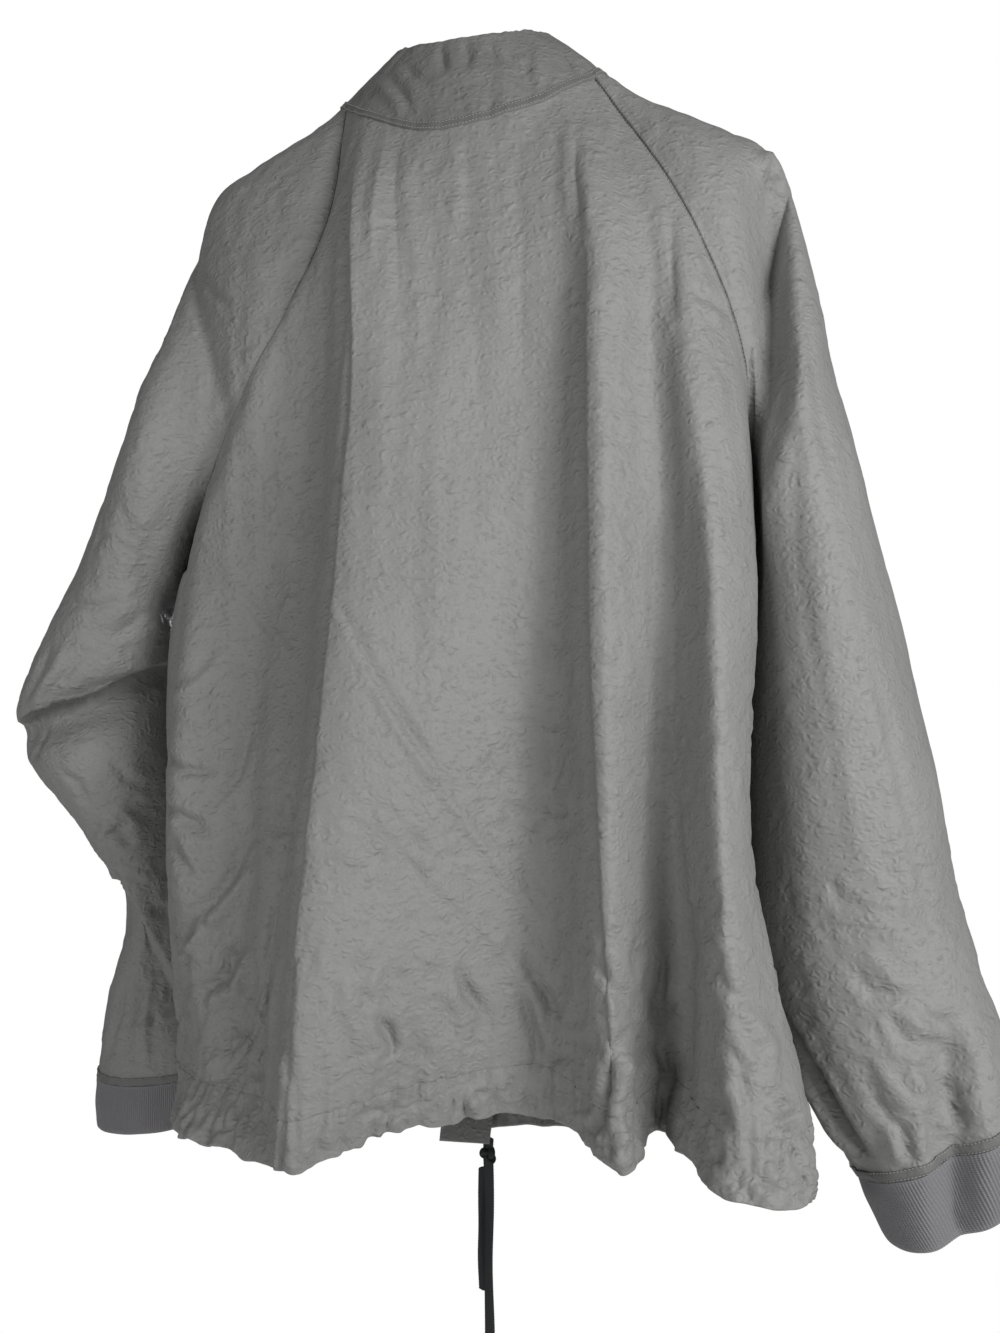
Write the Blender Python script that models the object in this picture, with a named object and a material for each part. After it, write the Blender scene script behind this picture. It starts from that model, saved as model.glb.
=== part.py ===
"""Windbreaker jacket: crinkled nylon, raglan sleeves, stand collar, gathered hem, rib cuffs.

It hangs filled out, back toward +Y, wearer's left toward +X, up is +Z, in metres.
The origin is the middle of the neck base, where the garment is held.
Every cloth piece is a thin wall on one shared surface. The surface runs through fold lines
(BODY_LINES), each a row of places at named heights, and through sleeve sections.
"""

import math

import bmesh
import bpy
import numpy as np

# ---------------------------------------------------------------- sizes (metres, degrees)
CLOTH = 0.0015
SEAM_GAP = 0.0004
STRIP = 0.0010
STRIP_GAP = 0.0005

NECK_HALF_WIDTH = 0.099
NECK_HALF_DEPTH = 0.078
NECK_SIDE_Z = -0.006
NECK_TILT = 0.004
NECK_BACK_DROP = 0.054
NECK_FRONT_DROP = 0.078

HEIGHTS = {"top": -0.13, "yoke": -0.24, "arm": -0.365, "low": -0.56}
CHANNEL = 0.032
ROWS = {"top": 3, "yoke": 3, "arm": 4, "low": 4, "band": 5, "hem": 2}
LEVELS = ("hem", "band", "low", "arm", "yoke", "top")

# Fold lines of the body, left side seam, across the back, right side seam, across the fronts.
# name, neck angle, hem height, (x, y) at hem, band, low, arm, yoke and top, columns after it.
# This table is in millimetres; l_ and r_ are the wearer's left and right.
MM = 0.001
BODY_LINES = (
    ("l_seam", 22, -760, (210, 35), (222, 25), (240, 5), (232, 0), (157, 72), (96, 73), 3),
    ("l_bulge", 27, -758, (193, 100), (184, 88), (200, 75), (200, 55), (147, 78), (92, 80), 3),
    ("l_hollow", 31, -755, (146, 128), (142, 112), (146, 98), (146, 70), (122, 80), (87, 85), 3),
    ("ridge1_foot", 36, -754, (112, 148), (112, 130), (105, 118), (99, 86), (90, 89), (79, 92), 3),
    ("ridge1", 46, -753, (84, 166), (86, 168), (77, 158), (66, 129), (60, 118), (64, 105), 6),
    ("middle", 82, -742, (34, 122), (22, 128), (10, 130), (7, 118), (9, 110), (19, 98), 5),
    ("valley1", 124, -735, (-64, 88), (-65, 86), (-66, 84), (-69, 90), (-72, 89), (-75, 86), 4),
    ("ridge2", 137, -748, (-122, 140), (-116, 139), (-110, 130), (-105, 119), (-103, 109), (-98, 95), 3),
    ("valley2", 145, -737, (-139, 91), (-145, 88), (-144, 88), (-147, 88), (-139, 86), (-130, 81), 3),
    ("ridge3", 150, -747, (-183, 172), (-188, 163), (-181, 139), (-175, 113), (-162, 96), (-146, 79), 3),
    ("ridge3_edge", 154, -750, (-230, 160), (-232, 134), (-201, 98), (-204, 74), (-192, 74), (-154, 75), 3),
    ("r_seam", 158, -757, (-226, 60), (-216, 35), (-181, 2), (-186, 0), (-199, 56), (-161, 70), 0),
    ("r_seam", 202, -757, (-226, 60), (-216, 35), (-181, 2), (-186, 0), (-190, -58), (-137, -66), 3),
    ("r_front", 209, -768, (-205, -40), (-203, -52), (-184, -62), (-181, -60), (-172, -78), (-126, -73), 3),
    ("r_fold", 218, -781, (-140, -90), (-140, -108), (-135, -114), (-135, -105), (-125, -98), (-97, -83), 3),
    ("r_valley", 232, -789, (-82, -50), (-85, -62), (-85, -76), (-85, -86), (-80, -88), (-68, -86), 3),
    ("r_roll", 250, -796, (-30, -62), (-30, -80), (-34, -98), (-37, -105), (-37, -104), (-34, -95), 2),
    ("zip_right", 267.6, -800, (8, -46), (6, -64), (4, -86), (0, -102), (-2, -104), (-4, -97), 0),
    ("zip_left", 272.4, -800, (16, -46), (14, -64), (12, -86), (8, -102), (6, -104), (4, -97), 2),
    ("l_roll", 290, -798, (54, -64), (52, -84), (48, -102), (45, -107), (42, -105), (34, -95), 3),
    ("l_valley", 308, -792, (100, -46), (100, -60), (100, -74), (95, -86), (85, -89), (68, -87), 3),
    ("l_fold", 322, -782, (150, -78), (150, -96), (155, -104), (150, -100), (125, -95), (90, -83), 3),
    ("l_front", 331, -772, (196, -34), (202, -46), (210, -54), (204, -54), (150, -79), (100, -76), 3),
    ("l_seam", 338, -760, (210, 35), (222, 25), (240, 5), (232, 0), (162, -64), (103, -68), 0),
)
BODY_PANELS = ("back", "front_right", "front_left", "hem_channel")
BACK = (0, 11)
RIGHT_FRONT = (12, 17)
LEFT_FRONT = (18, 23)

# Shoulder line of each sleeve, neck to the ring that closes at the armpit: x, y, z
SHOULDER = {
    "left": ((.135, .0, -.031), (.170, .0, -.049), (.196, .0, -.063), (.210, -.001, -.083),
             (.219, -.002, -.115), (.231, -.003, -.160), (.243, -.004, -.192)),
    "right": ((-.135, .0, -.0265), (-.175, .0, -.045), (-.212, .0, -.0615), (-.2255, .0, -.080),
              (-.237, .0, -.120), (-.247, .0, -.165), (-.256, .0, -.205)),
}

# Sleeve sections below the armpit: name, inner edge, outer edge, half depth, rows before it
SLEEVE = {
    "left": (
        ("armpit", (.232, .000, -.365), (.243, -.004, -.192), .078, 0),
        ("upper", (.245, -.022, -.386), (.289, -.006, -.290), .076, 3),
        ("above_elbow", (.249, -.032, -.408), (.349, -.006, -.402), .072, 3),
        ("elbow_lip", (.251, -.036, -.430), (.375, -.004, -.470), .068, 3),
        ("elbow_tuck", (.253, -.050, -.438), (.377, -.018, -.488), .060, 1),
        ("below_elbow", (.253, -.048, -.500), (.374, -.020, -.514), .060, 2),
        ("forearm", (.255, -.062, -.575), (.343, -.050, -.568), .052, 2),
        ("low_forearm", (.257, -.080, -.650), (.321, -.084, -.630), .048, 2),
        ("wrist", (.259, -.096, -.715), (.344, -.100, -.718), .045, 2),
        ("cuff_seam", (.264, -.100, -.784), (.355, -.102, -.787), .041, 2),
    ),
    "right": (
        ("armpit", (-.186, .000, -.365), (-.256, .000, -.205), .084, 0),
        ("upper", (-.198, .000, -.400), (-.284, .002, -.320), .088, 3),
        ("above_elbow", (-.199, .006, -.455), (-.307, .010, -.420), .086, 2),
        ("elbow", (-.200, .015, -.525), (-.324, .018, -.500), .079, 2),
        ("forearm", (-.202, .028, -.600), (-.338, .028, -.588), .070, 2),
        ("low_forearm", (-.212, .046, -.660), (-.352, .040, -.646), .062, 2),
        ("wrist", (-.238, .066, -.715), (-.365, .048, -.685), .055, 2),
        ("cuff_seam", (-.269, .086, -.762), (-.374, .048, -.718), .047, 2),
    ),
}

# Long dents pressed into the back of a sleeve: side, start and end (x, z), half width, depth
DENTS = (
    ("right", (-.214, -.080), (-.214, -.290), .015, .021),
    ("right", (-.316, -.650), (-.326, -.830), .013, .016),
    ("left", (.250, -.520), (.275, -.700), .014, .010),
)
SLEEVE_COLUMNS = 20
# Row near the elbow where each sleeve's wall is parted into an upper and a lower solid
SLEEVE_PART = {"left": 20, "right": 15}
SLEEVE_CLEAR = 0.0090
SLEEVE_OPENS = 0.4
NECK_STRIDE = 2
# Lower end of each cuff: inner edge, outer edge, half depth, downward lean of the near side
CUFF_END = {
    "left": ((.268, -.104, -.826), (.358, -.108, -.832), .037, .0),
    "right": ((-.289, .095, -.800), (-.372, .042, -.752), .040, -.22),
}
CUFF_COLUMNS = 80
RIB_WALL = 0.0020
RIB_HEIGHT = 0.0006

# Collar rings above the neck seam: half width, half depth, side height, back drop, front drop
COLLAR = (
    (.085, .072, .010, .048, .062),
    (.070, .064, .022, .033, .046),
    (.060, .055, .030, .018, .032),
)
COLLAR_SLOPE = 0.05

BINDING_HALF = 0.0035
CUFF_STRIP = 0.007

GATHER = 0.0016
GATHER_FADE = 6
GATHER_ROOM = 0.008

ZIP_TAPE_HALF = 0.013
ZIP_TAPE = 0.0008
ZIP_TAPE_GAP = 0.0008
ZIP_CHAIN_HALF = 0.0028
ZIP_CHAIN = 0.0018
SLIDER = (0.0090, 0.0052, 0.0125)
TAB = (0.0055, 0.0016, 0.0240)
TAB_CLEAR = 0.0008
FLAP_LEFT = 0.024
FLAP_RIGHT = 0.016
FLAP_INSIDE = 0.0052
FLAP_BELOW = 0.007

CORD_DIAMETER = 0.0065
CORD_LONG = ((-.0012, -.0475, -.8284), (-.0018, -.0478, -.860), (-.0010, -.0482, -.905),
             (-.0020, -.0480, -.950), (-.0024, -.0478, -.985))
CORD_SHORT = ((.0038, -.0520, -.8284), (.0044, -.0535, -.860), (.0048, -.0540, -.895),
              (.0036, -.0537, -.926))
CORD_NECK = ((-.0010, -.0480, -.8032), (-.0010, -.0482, -.8053), (-.0008, -.0483, -.8074))
KNOT = ((-.0004, -.0495, -.8176), (.0085, .0066, .0097))


# ---------------------------------------------------------------- smooth curves
def unit(vectors):
    vectors = np.asarray(vectors, float)
    return vectors / np.maximum(np.linalg.norm(vectors, axis=-1, keepdims=True), 1e-12)


def spline(points, counts, before=None, after=None):
    """Smooth curve through the points, with counts[i] steps from point i to point i + 1."""
    points = [np.asarray(p, float) for p in points]
    first = 2 * points[0] - points[1] if before is None else np.asarray(before, float)
    last = 2 * points[-1] - points[-2] if after is None else np.asarray(after, float)
    run = [first] + points + [last]
    out = []
    for i, count in enumerate(counts):
        p0, p1, p2, p3 = run[i:i + 4]
        d0 = math.sqrt(np.linalg.norm(p1 - p0)) + 1e-6
        d1 = math.sqrt(np.linalg.norm(p2 - p1)) + 1e-6
        d2 = math.sqrt(np.linalg.norm(p3 - p2)) + 1e-6
        m1 = d1 * ((p1 - p0) / d0 - (p2 - p0) / (d0 + d1) + (p2 - p1) / d1)
        m2 = d1 * ((p2 - p1) / d1 - (p3 - p1) / (d1 + d2) + (p3 - p2) / d2)
        for s in np.arange(count) / max(count, 1):
            a = 2 * s**3 - 3 * s**2 + 1
            b = s**3 - 2 * s**2 + s
            c = -2 * s**3 + 3 * s**2
            d = s**3 - s**2
            out.append(a * p1 + b * m1 + c * p2 + d * m2)
    out.append(points[-1])
    return np.array(out)


def evenly(curve, count):
    """The same curve with count + 1 points at equal distances."""
    length = np.concatenate([[0], np.cumsum(np.linalg.norm(np.diff(curve, axis=0), axis=1))])
    at = np.linspace(0, length[-1], count + 1)
    return np.stack([np.interp(at, length, curve[:, k]) for k in range(3)], axis=1)


def neck_point(angle):
    """A place on the neck seam, which dips at the back and more at the front."""
    a = math.radians(angle)
    x = NECK_HALF_WIDTH * math.cos(a)
    y = NECK_HALF_DEPTH * math.sin(a)
    drop = NECK_BACK_DROP if y > 0 else NECK_FRONT_DROP
    return np.array([x, y, NECK_SIDE_Z - NECK_TILT * math.cos(a) - drop * math.sin(a)**2])


# ---------------------------------------------------------------- the shared surface
def body_lines():
    """Every fold line as points from the neck down to the hem, and the row numbers of levels."""
    names = ["neck"] + list(reversed(LEVELS))
    counts = [ROWS[n] for n in names[1:]]
    starts = dict(zip(names, np.concatenate([[0], np.cumsum(counts)])))
    lines = []
    for row in BODY_LINES:
        hem = row[2] * MM
        places = dict(zip(LEVELS, np.array(row[3:9]) * MM))
        heights = dict(HEIGHTS, band=hem + CHANNEL, hem=hem)
        stations = [neck_point(row[1])]
        for name in names[1:]:
            stations.append(np.array([*places[name], heights[name]]))
        lines.append(spline(stations, counts))
    arm = starts["arm"]
    for a, b in ((0, 23), (11, 12)):
        shared = (lines[a][arm:] + lines[b][arm:]) / 2
        lines[a][arm:] = shared
        lines[b][arm:] = shared
    return lines, starts


def panel_grid(lines, starts, span):
    """Rows of points across one panel, neck first, from one bounding line to the other."""
    first, last = span
    counts = [BODY_LINES[i][9] for i in range(first, last)]
    total = len(BODY_LINES)
    rows = []
    for r in range(len(lines[0])):
        before = None
        after = None
        if r >= starts["arm"]:
            if first in (0, 12):
                before = lines[(first - 2) % total][r]
            if last in (11, 23):
                after = lines[(last + 2) % total][r]
        rows.append(spline([lines[i][r] for i in range(first, last + 1)], counts, before, after))
    return np.array(rows)


def ring(inner, outer, half_depth, opening, toward_back, columns):
    """Part of an ellipse from the back, over the outer edge, to the front, or a closed one."""
    axis = unit(outer - inner)
    a = np.linalg.norm(outer - inner) / (1 + math.cos(opening))
    centre = outer - a * axis
    turn = np.linspace(opening, 2 * math.pi - opening, columns + 1)[:, None]
    return centre - a * np.cos(turn) * axis + half_depth * np.sin(turn) * toward_back


def dented(rows, side):
    """Rows of a sleeve with its long dents pressed in, on the half that faces the back."""
    rows = [row.copy() for row in rows]
    for where, start, end, width, depth in DENTS:
        if where != side:
            continue
        for row in rows[1:]:
            z = row[:, 2]
            along = (start[1] - z) / (start[1] - end[1])
            x = start[0] + (end[0] - start[0]) * along
            ends = np.clip(along * 6, 0, 1) * np.clip((1 - along) * 3.5, 0, 1)
            count = len(row) - 1
            back = np.clip(np.sin(np.arange(count + 1) / count * 2 * math.pi) * 1.8 - 0.5, 0, 1)
            row[:, 1] -= depth * ends * back * np.exp(-((row[:, 0] - x) / width) ** 2)
    return rows


def clear_of_body(rows, side, outlines, arm_row):
    """Rows of a sleeve moved out sideways until they hang free of the body's side."""
    sign = 1 if side == "left" else -1
    heights = np.array([outline[:, 2].mean() for outline in outlines])
    armpit = rows[arm_row][0]
    out = []
    for r, row in enumerate(rows):
        ends = (row[0], row[-1]) if r < arm_row else (armpit,)
        away = np.min([np.linalg.norm(row - end, axis=1) for end in ends], axis=0)
        free = np.minimum(SLEEVE_OPENS * away, SLEEVE_CLEAR)
        row = row.copy()
        for i, point in enumerate(row):
            level = np.interp(-point[2], -heights, np.arange(len(heights)))
            reach = [np.interp(point[1], o[:, 1], sign * o[:, 0]) for o in outlines]
            side_x = np.interp(level, np.arange(len(heights)), reach)
            if point[2] < heights[0] and away[i] > 1e-6:
                row[i, 0] = sign * max(sign * point[0], side_x + free[i])
        out.append(row)
    return out


def on_chords(row, stride):
    """A row whose points lie on straight lines between every stride-th of them."""
    row = row.copy()
    for start in range(0, len(row) - 1, stride):
        for k in range(1, stride):
            row[start + k] = between(row[start], row[start + stride], k / stride)
    return row


def sleeve_rows(side, back_edge, front_edge, arm_row):
    """Open arches from the neck to the armpit, then closed rings down to the cuff seam."""
    neck = neck_point(0 if side == "left" else 180)
    shoulder = evenly(spline([neck] + list(SHOULDER[side]), [6] * len(SHOULDER[side])), arm_row)
    sections = SLEEVE[side]
    rows = []
    for r in range(arm_row):
        back = back_edge[r]
        front = front_edge[r]
        span = np.linalg.norm(back - front) / 2
        fill = sections[0][3] * (r / arm_row) ** 0.7
        depth = max(span, fill)
        opening = math.asin(min(1.0, span / depth))
        rows.append(ring((back + front) / 2, shoulder[r], depth, opening, unit(back - front), SLEEVE_COLUMNS))
        rows[-1][0] = back
        rows[-1][-1] = front
    numbers = [np.array([*s[1], *s[2], s[3]]) for s in sections]
    numbers[0][:3] = back_edge[arm_row]
    for row in spline(numbers, [s[4] for s in sections[1:]]):
        inner, outer, depth = row[:3], row[3:6], row[6]
        axis = unit(outer - inner)
        across = np.array([0, 1, 0]) - axis[1] * axis
        rows.append(ring(inner, outer, depth, 0.0, unit(across), SLEEVE_COLUMNS))
        rows[-1][-1] = rows[-1][0]
    rows = dented(rows, side)
    step = np.linalg.norm(rows[-2] - rows[-1], axis=1, keepdims=True)
    rows.insert(-1, between(rows[-1], rows[-2], CUFF_STRIP / step))
    return rows


# ---------------------------------------------------------------- walls
class Cloth:
    """Points of all the panels together, so that neighbours share their seams and normals."""

    def __init__(self):
        self.points = []
        self.keys = {}
        self.faces = {}

    def vertex(self, point):
        key = tuple(np.round(np.asarray(point) * 1e6).astype(int))
        if key not in self.keys:
            self.keys[key] = len(self.points)
            self.points.append(np.asarray(point, float))
        return self.keys[key]

    def add(self, name, rows):
        """Quads between rows of points, outside face up."""
        index = [[self.vertex(p) for p in row] for row in rows]
        for upper, lower in zip(index[:-1], index[1:]):
            for i in range(len(upper) - 1):
                face = [upper[i], upper[i + 1], lower[i + 1], lower[i]]
                face = [v for k, v in enumerate(face) if v != face[k - 1]]
                if len(face) > 2:
                    self.faces.setdefault(name, []).append(tuple(face))
        return index

    def normals(self):
        """Ways out; at a seam the body, each sleeve and the collar count the same."""
        points = np.array(self.points)
        groups = {}
        for name, faces in self.faces.items():
            key = "body" if name in BODY_PANELS else name.replace("_lower", "")
            groups.setdefault(key, []).extend(faces)
        return points, unit(sum(unit(area_normals(points, faces)) for faces in groups.values()))


def area_normals(points, faces):
    """For each point the sum of its faces' area vectors."""
    out = np.zeros_like(points)
    for face in faces:
        corners = points[list(face)]
        area = np.cross(corners[2] - corners[0], corners[-1] - corners[1])
        for v in face:
            out[v] += area
    return out


def borders(faces):
    """Border edges of a set of faces, each in its face's direction."""
    seen = {}
    for face in faces:
        for a, b in zip(face, face[1:] + face[:1]):
            seen[(a, b)] = True
    return [edge for edge in seen if (edge[1], edge[0]) not in seen]


def inset(points, faces, distance):
    """Points with the border drawn back along the surface, to leave half a seam gap."""
    own = unit(area_normals(points, faces))
    move = {}
    for a, b in borders(faces):
        along = unit(points[b] - points[a])
        for v in (a, b):
            inward = unit(np.cross(own[v], along))
            move.setdefault(v, []).append(inward)
    out = points.copy()
    for v, inward in move.items():
        mean = unit(np.sum(inward, axis=0))
        widest = max(0.5, min(float(np.dot(mean, i)) for i in inward))
        out[v] = points[v] + mean * distance / widest
    return out


def split(points, faces):
    """The faces as triangles, each quad cut along its shorter diagonal."""
    out = []
    for face in faces:
        if len(face) == 3:
            out.append(tuple(face))
            continue
        a, b, c, d = face
        if np.linalg.norm(points[a] - points[c]) <= np.linalg.norm(points[b] - points[d]):
            out += [(a, b, c), (a, c, d)]
        else:
            out += [(b, c, d), (b, d, a)]
    return out


def wall(points, normals, faces, thickness, shift=0.0):
    """A closed wall on the faces: outer skin, inner skin and the edge between them."""
    faces = split(points, faces)
    used = sorted({v for face in faces for v in face})
    slot = {v: i for i, v in enumerate(used)}
    n = len(used)
    outer = points[used] + normals[used] * (shift + thickness / 2)
    inner = points[used] + normals[used] * (shift - thickness / 2)
    polygons = [tuple(slot[v] for v in face) for face in faces]
    skin = polygons + [tuple(n + v for v in reversed(face)) for face in polygons]
    for a, b in borders(faces):
        skin.append((slot[b], slot[a], n + slot[a], n + slot[b]))
    return np.concatenate([outer, inner]), skin


def closed_wall(rows, outer_way, inner_way, thickness, shift):
    """A closed ring of wall on rows of points, with its own way out for each skin."""
    rows = np.array(rows)
    count, columns = rows.shape[:2]
    middle = rows.reshape(-1, 3)
    outer = rows + np.array(outer_way) * thickness / 2 + np.array(inner_way) * shift
    inner = rows - np.array(inner_way) * thickness / 2 + np.array(inner_way) * shift
    n = count * columns
    quads = []
    for r in range(count - 1):
        for c in range(columns):
            a = r * columns + c
            b = r * columns + (c + 1) % columns
            quads.append((a, a + columns, b + columns, b))
    faces = split(middle, quads)
    faces += [tuple(n + v for v in reversed(face)) for face in faces]
    for c in range(columns):
        a, b = c, (c + 1) % columns
        faces.append((a, b, n + b, n + a))
        a, b = a + n - columns, b + n - columns
        faces.append((b, a, n + a, n + b))
    return np.concatenate([outer.reshape(-1, 3), inner.reshape(-1, 3)]), faces


# ---------------------------------------------------------------- Blender objects
def clear_scene():
    for item in list(bpy.data.objects):
        bpy.data.objects.remove(item, do_unlink=True)


def material(name, colour, roughness, metallic=0.0):
    made = bpy.data.materials.new(name)
    made.use_nodes = True
    shader = made.node_tree.nodes["Principled BSDF"]
    shader.inputs["Base Color"].default_value = (*colour, 1.0)
    shader.inputs["Roughness"].default_value = roughness
    shader.inputs["Metallic"].default_value = metallic
    made.diffuse_color = (*colour, 1.0)
    return made


def place(collection, name, points, faces, made):
    """One closed solid from points and faces, split into triangles, facing outward."""
    mesh = bpy.data.meshes.new(name)
    mesh.from_pydata([tuple(p) for p in points], [], faces)
    work = bmesh.new()
    work.from_mesh(mesh)
    bmesh.ops.triangulate(work, faces=work.faces[:], quad_method="FIXED")
    bmesh.ops.recalc_face_normals(work, faces=work.faces[:])
    work.to_mesh(mesh)
    work.free()
    mesh.materials.append(made)
    made_object = bpy.data.objects.new(name, mesh)
    collection.objects.link(made_object)
    return made_object


# ---------------------------------------------------------------- the garment
def collar_rows(loop):
    """Rings from the collar's top edge down to the neck seam, on the neck's own columns."""
    angles = np.arctan2(loop[:, 1] / NECK_HALF_DEPTH, loop[:, 0] / NECK_HALF_WIDTH)
    rings = []
    for half_width, half_depth, side, back, front in COLLAR:
        x = half_width * np.cos(angles)
        y = half_depth * np.sin(angles)
        drop = np.where(y > 0, back, front) * np.sin(angles)**2
        rings.append(np.stack([x, y, side - COLLAR_SLOPE * x - drop], axis=1))
    columns = [spline([loop[i]] + [r[i] for r in rings], (1, 1, 1)) for i in range(len(loop))]
    grid = np.array(columns).transpose(1, 0, 2)[::-1].copy()
    open_half = (loop[0, 0] - loop[-1, 0]) / 2
    near_zip = np.clip(1 - np.abs(np.degrees(angles) + 90) / 40, 0, 1)
    for row in grid[:-1]:
        centre = (row[0, 0] + row[-1, 0]) / 2
        row[:, 0] -= centre * np.maximum(0, -np.sin(angles))**2
        wider = open_half - (row[0, 0] - row[-1, 0]) / 2
        row[:, 0] += np.sign(row[:, 0]) * wider * near_zip
    return grid


def between(a, b, fraction):
    return a + (b - a) * fraction


def finer(rows):
    """Twice the columns, the new ones halfway along each chord."""
    out = np.empty((rows.shape[0], rows.shape[1] * 2 - 1, 3))
    out[:, ::2] = rows
    out[:, 1::2] = (rows[:, :-1] + rows[:, 1:]) / 2
    return out


def grid_faces(rows, columns):
    faces = []
    for r in range(rows - 1):
        for c in range(columns - 1):
            i = r * columns + c
            faces.append((i, i + 1, i + columns + 1, i + columns))
    return faces


def grid_wall(points, normals, thickness, shift):
    rows, columns = points.shape[:2]
    faces = grid_faces(rows, columns)
    return wall(points.reshape(-1, 3), normals.reshape(-1, 3), faces, thickness, shift)


def hem_wall(index, points, normals):
    """The gathered channel: small waves in and out that die away at its top seam and the zip."""
    fine = finer(points[np.array(index)])
    away = finer(normals[np.array(index)])
    count = fine.shape[1]
    column = np.arange(count)
    fade = np.clip(np.minimum(column, count - 1 - column) / GATHER_FADE - 0.5, 0, 1)
    uneven = 0.75 + 0.35 * np.sin(column * 0.83) * np.sin(column * 0.31 + 1.0)
    wave = GATHER * fade * uneven * np.where(column % 2 == 1, 1.0, -0.6)
    for r, strength in ((1, 1.0), (2, 0.8)):
        apart = np.linalg.norm(np.gradient(fine[r], axis=0), axis=1)
        chord = unit(np.diff(fine[r], axis=0))
        straight = np.ones(count)
        straight[1:-1] = np.sum(chord[1:] * chord[:-1], axis=1)
        straight[1:-1] = np.minimum(straight[1:-1], np.minimum(straight[2:], straight[:-2]))
        room = np.clip(apart / GATHER_ROOM, 0, 1) ** 2 * np.clip(straight, 0, 1) ** 2
        fine[r] += away[r] * (wave * strength * room)[:, None]
    return grid_wall(fine, away, CLOTH, 0.0)


def cuff_rings(side, columns, rows):
    """Rings from the sleeve's end to the cuff's end, with the sleeve's own dent in them."""
    inner, outer, depth = (np.array(v, float) for v in SLEEVE[side][-1][1:4])
    inner_end, outer_end, depth_end, lean = (np.array(v, float) for v in CUFF_END[side])
    out = []
    for s in np.linspace(0, 1, rows):
        i = between(inner, inner_end, s)
        o = between(outer, outer_end, s)
        axis = unit(o - i)
        near = np.array([0, 1, lean * s])
        across = unit(near - np.dot(near, axis) * axis)
        out.append(ring(i, o, between(depth, depth_end, s), 0.0, across, columns))
    return np.array(dented(out[:1] + out, side)[1:])


def tube(collection, name, route, diameter, made):
    """A cord as a bevelled curve with filled ends, through a smooth line of its own points."""
    line = spline(route, [8] * (len(route) - 1))
    length = np.linalg.norm(np.diff(line, axis=0), axis=1).sum()
    line = evenly(line, max(2, round(length / (2.4 * diameter))))
    curve = bpy.data.curves.new(name, "CURVE")
    curve.dimensions = "3D"
    curve.bevel_depth = diameter / 2
    curve.bevel_resolution = 2
    curve.use_fill_caps = True
    strand = curve.splines.new("POLY")
    strand.points.add(len(line) - 1)
    for point, place_at in zip(strand.points, line):
        point.co = (*place_at, 1.0)
    curve.materials.append(made)
    made_object = bpy.data.objects.new(name, curve)
    collection.objects.link(made_object)
    return made_object


def lump(collection, name, centre, radii, made):
    bpy.ops.mesh.primitive_uv_sphere_add(segments=12, ring_count=8, radius=1.0)
    made_object = bpy.context.object
    made_object.name = name
    made_object.data.name = name
    for vertex in made_object.data.vertices:
        vertex.co = [centre[k] + vertex.co[k] * radii[k] for k in range(3)]
    made_object.data.materials.append(made)
    for owner in list(made_object.users_collection):
        owner.objects.unlink(made_object)
    collection.objects.link(made_object)
    return made_object


def plate(collection, name, corner_sets, made):
    """A closed prism between two outlines of equal count."""
    first, second = (np.asarray(c, float) for c in corner_sets)
    n = len(first)
    faces = [tuple(range(n)), tuple(range(2 * n - 1, n - 1, -1))]
    faces += [(i, n + i, n + (i + 1) % n, (i + 1) % n) for i in range(n)]
    return place(collection, name, np.concatenate([first, second]), faces, made)


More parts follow.
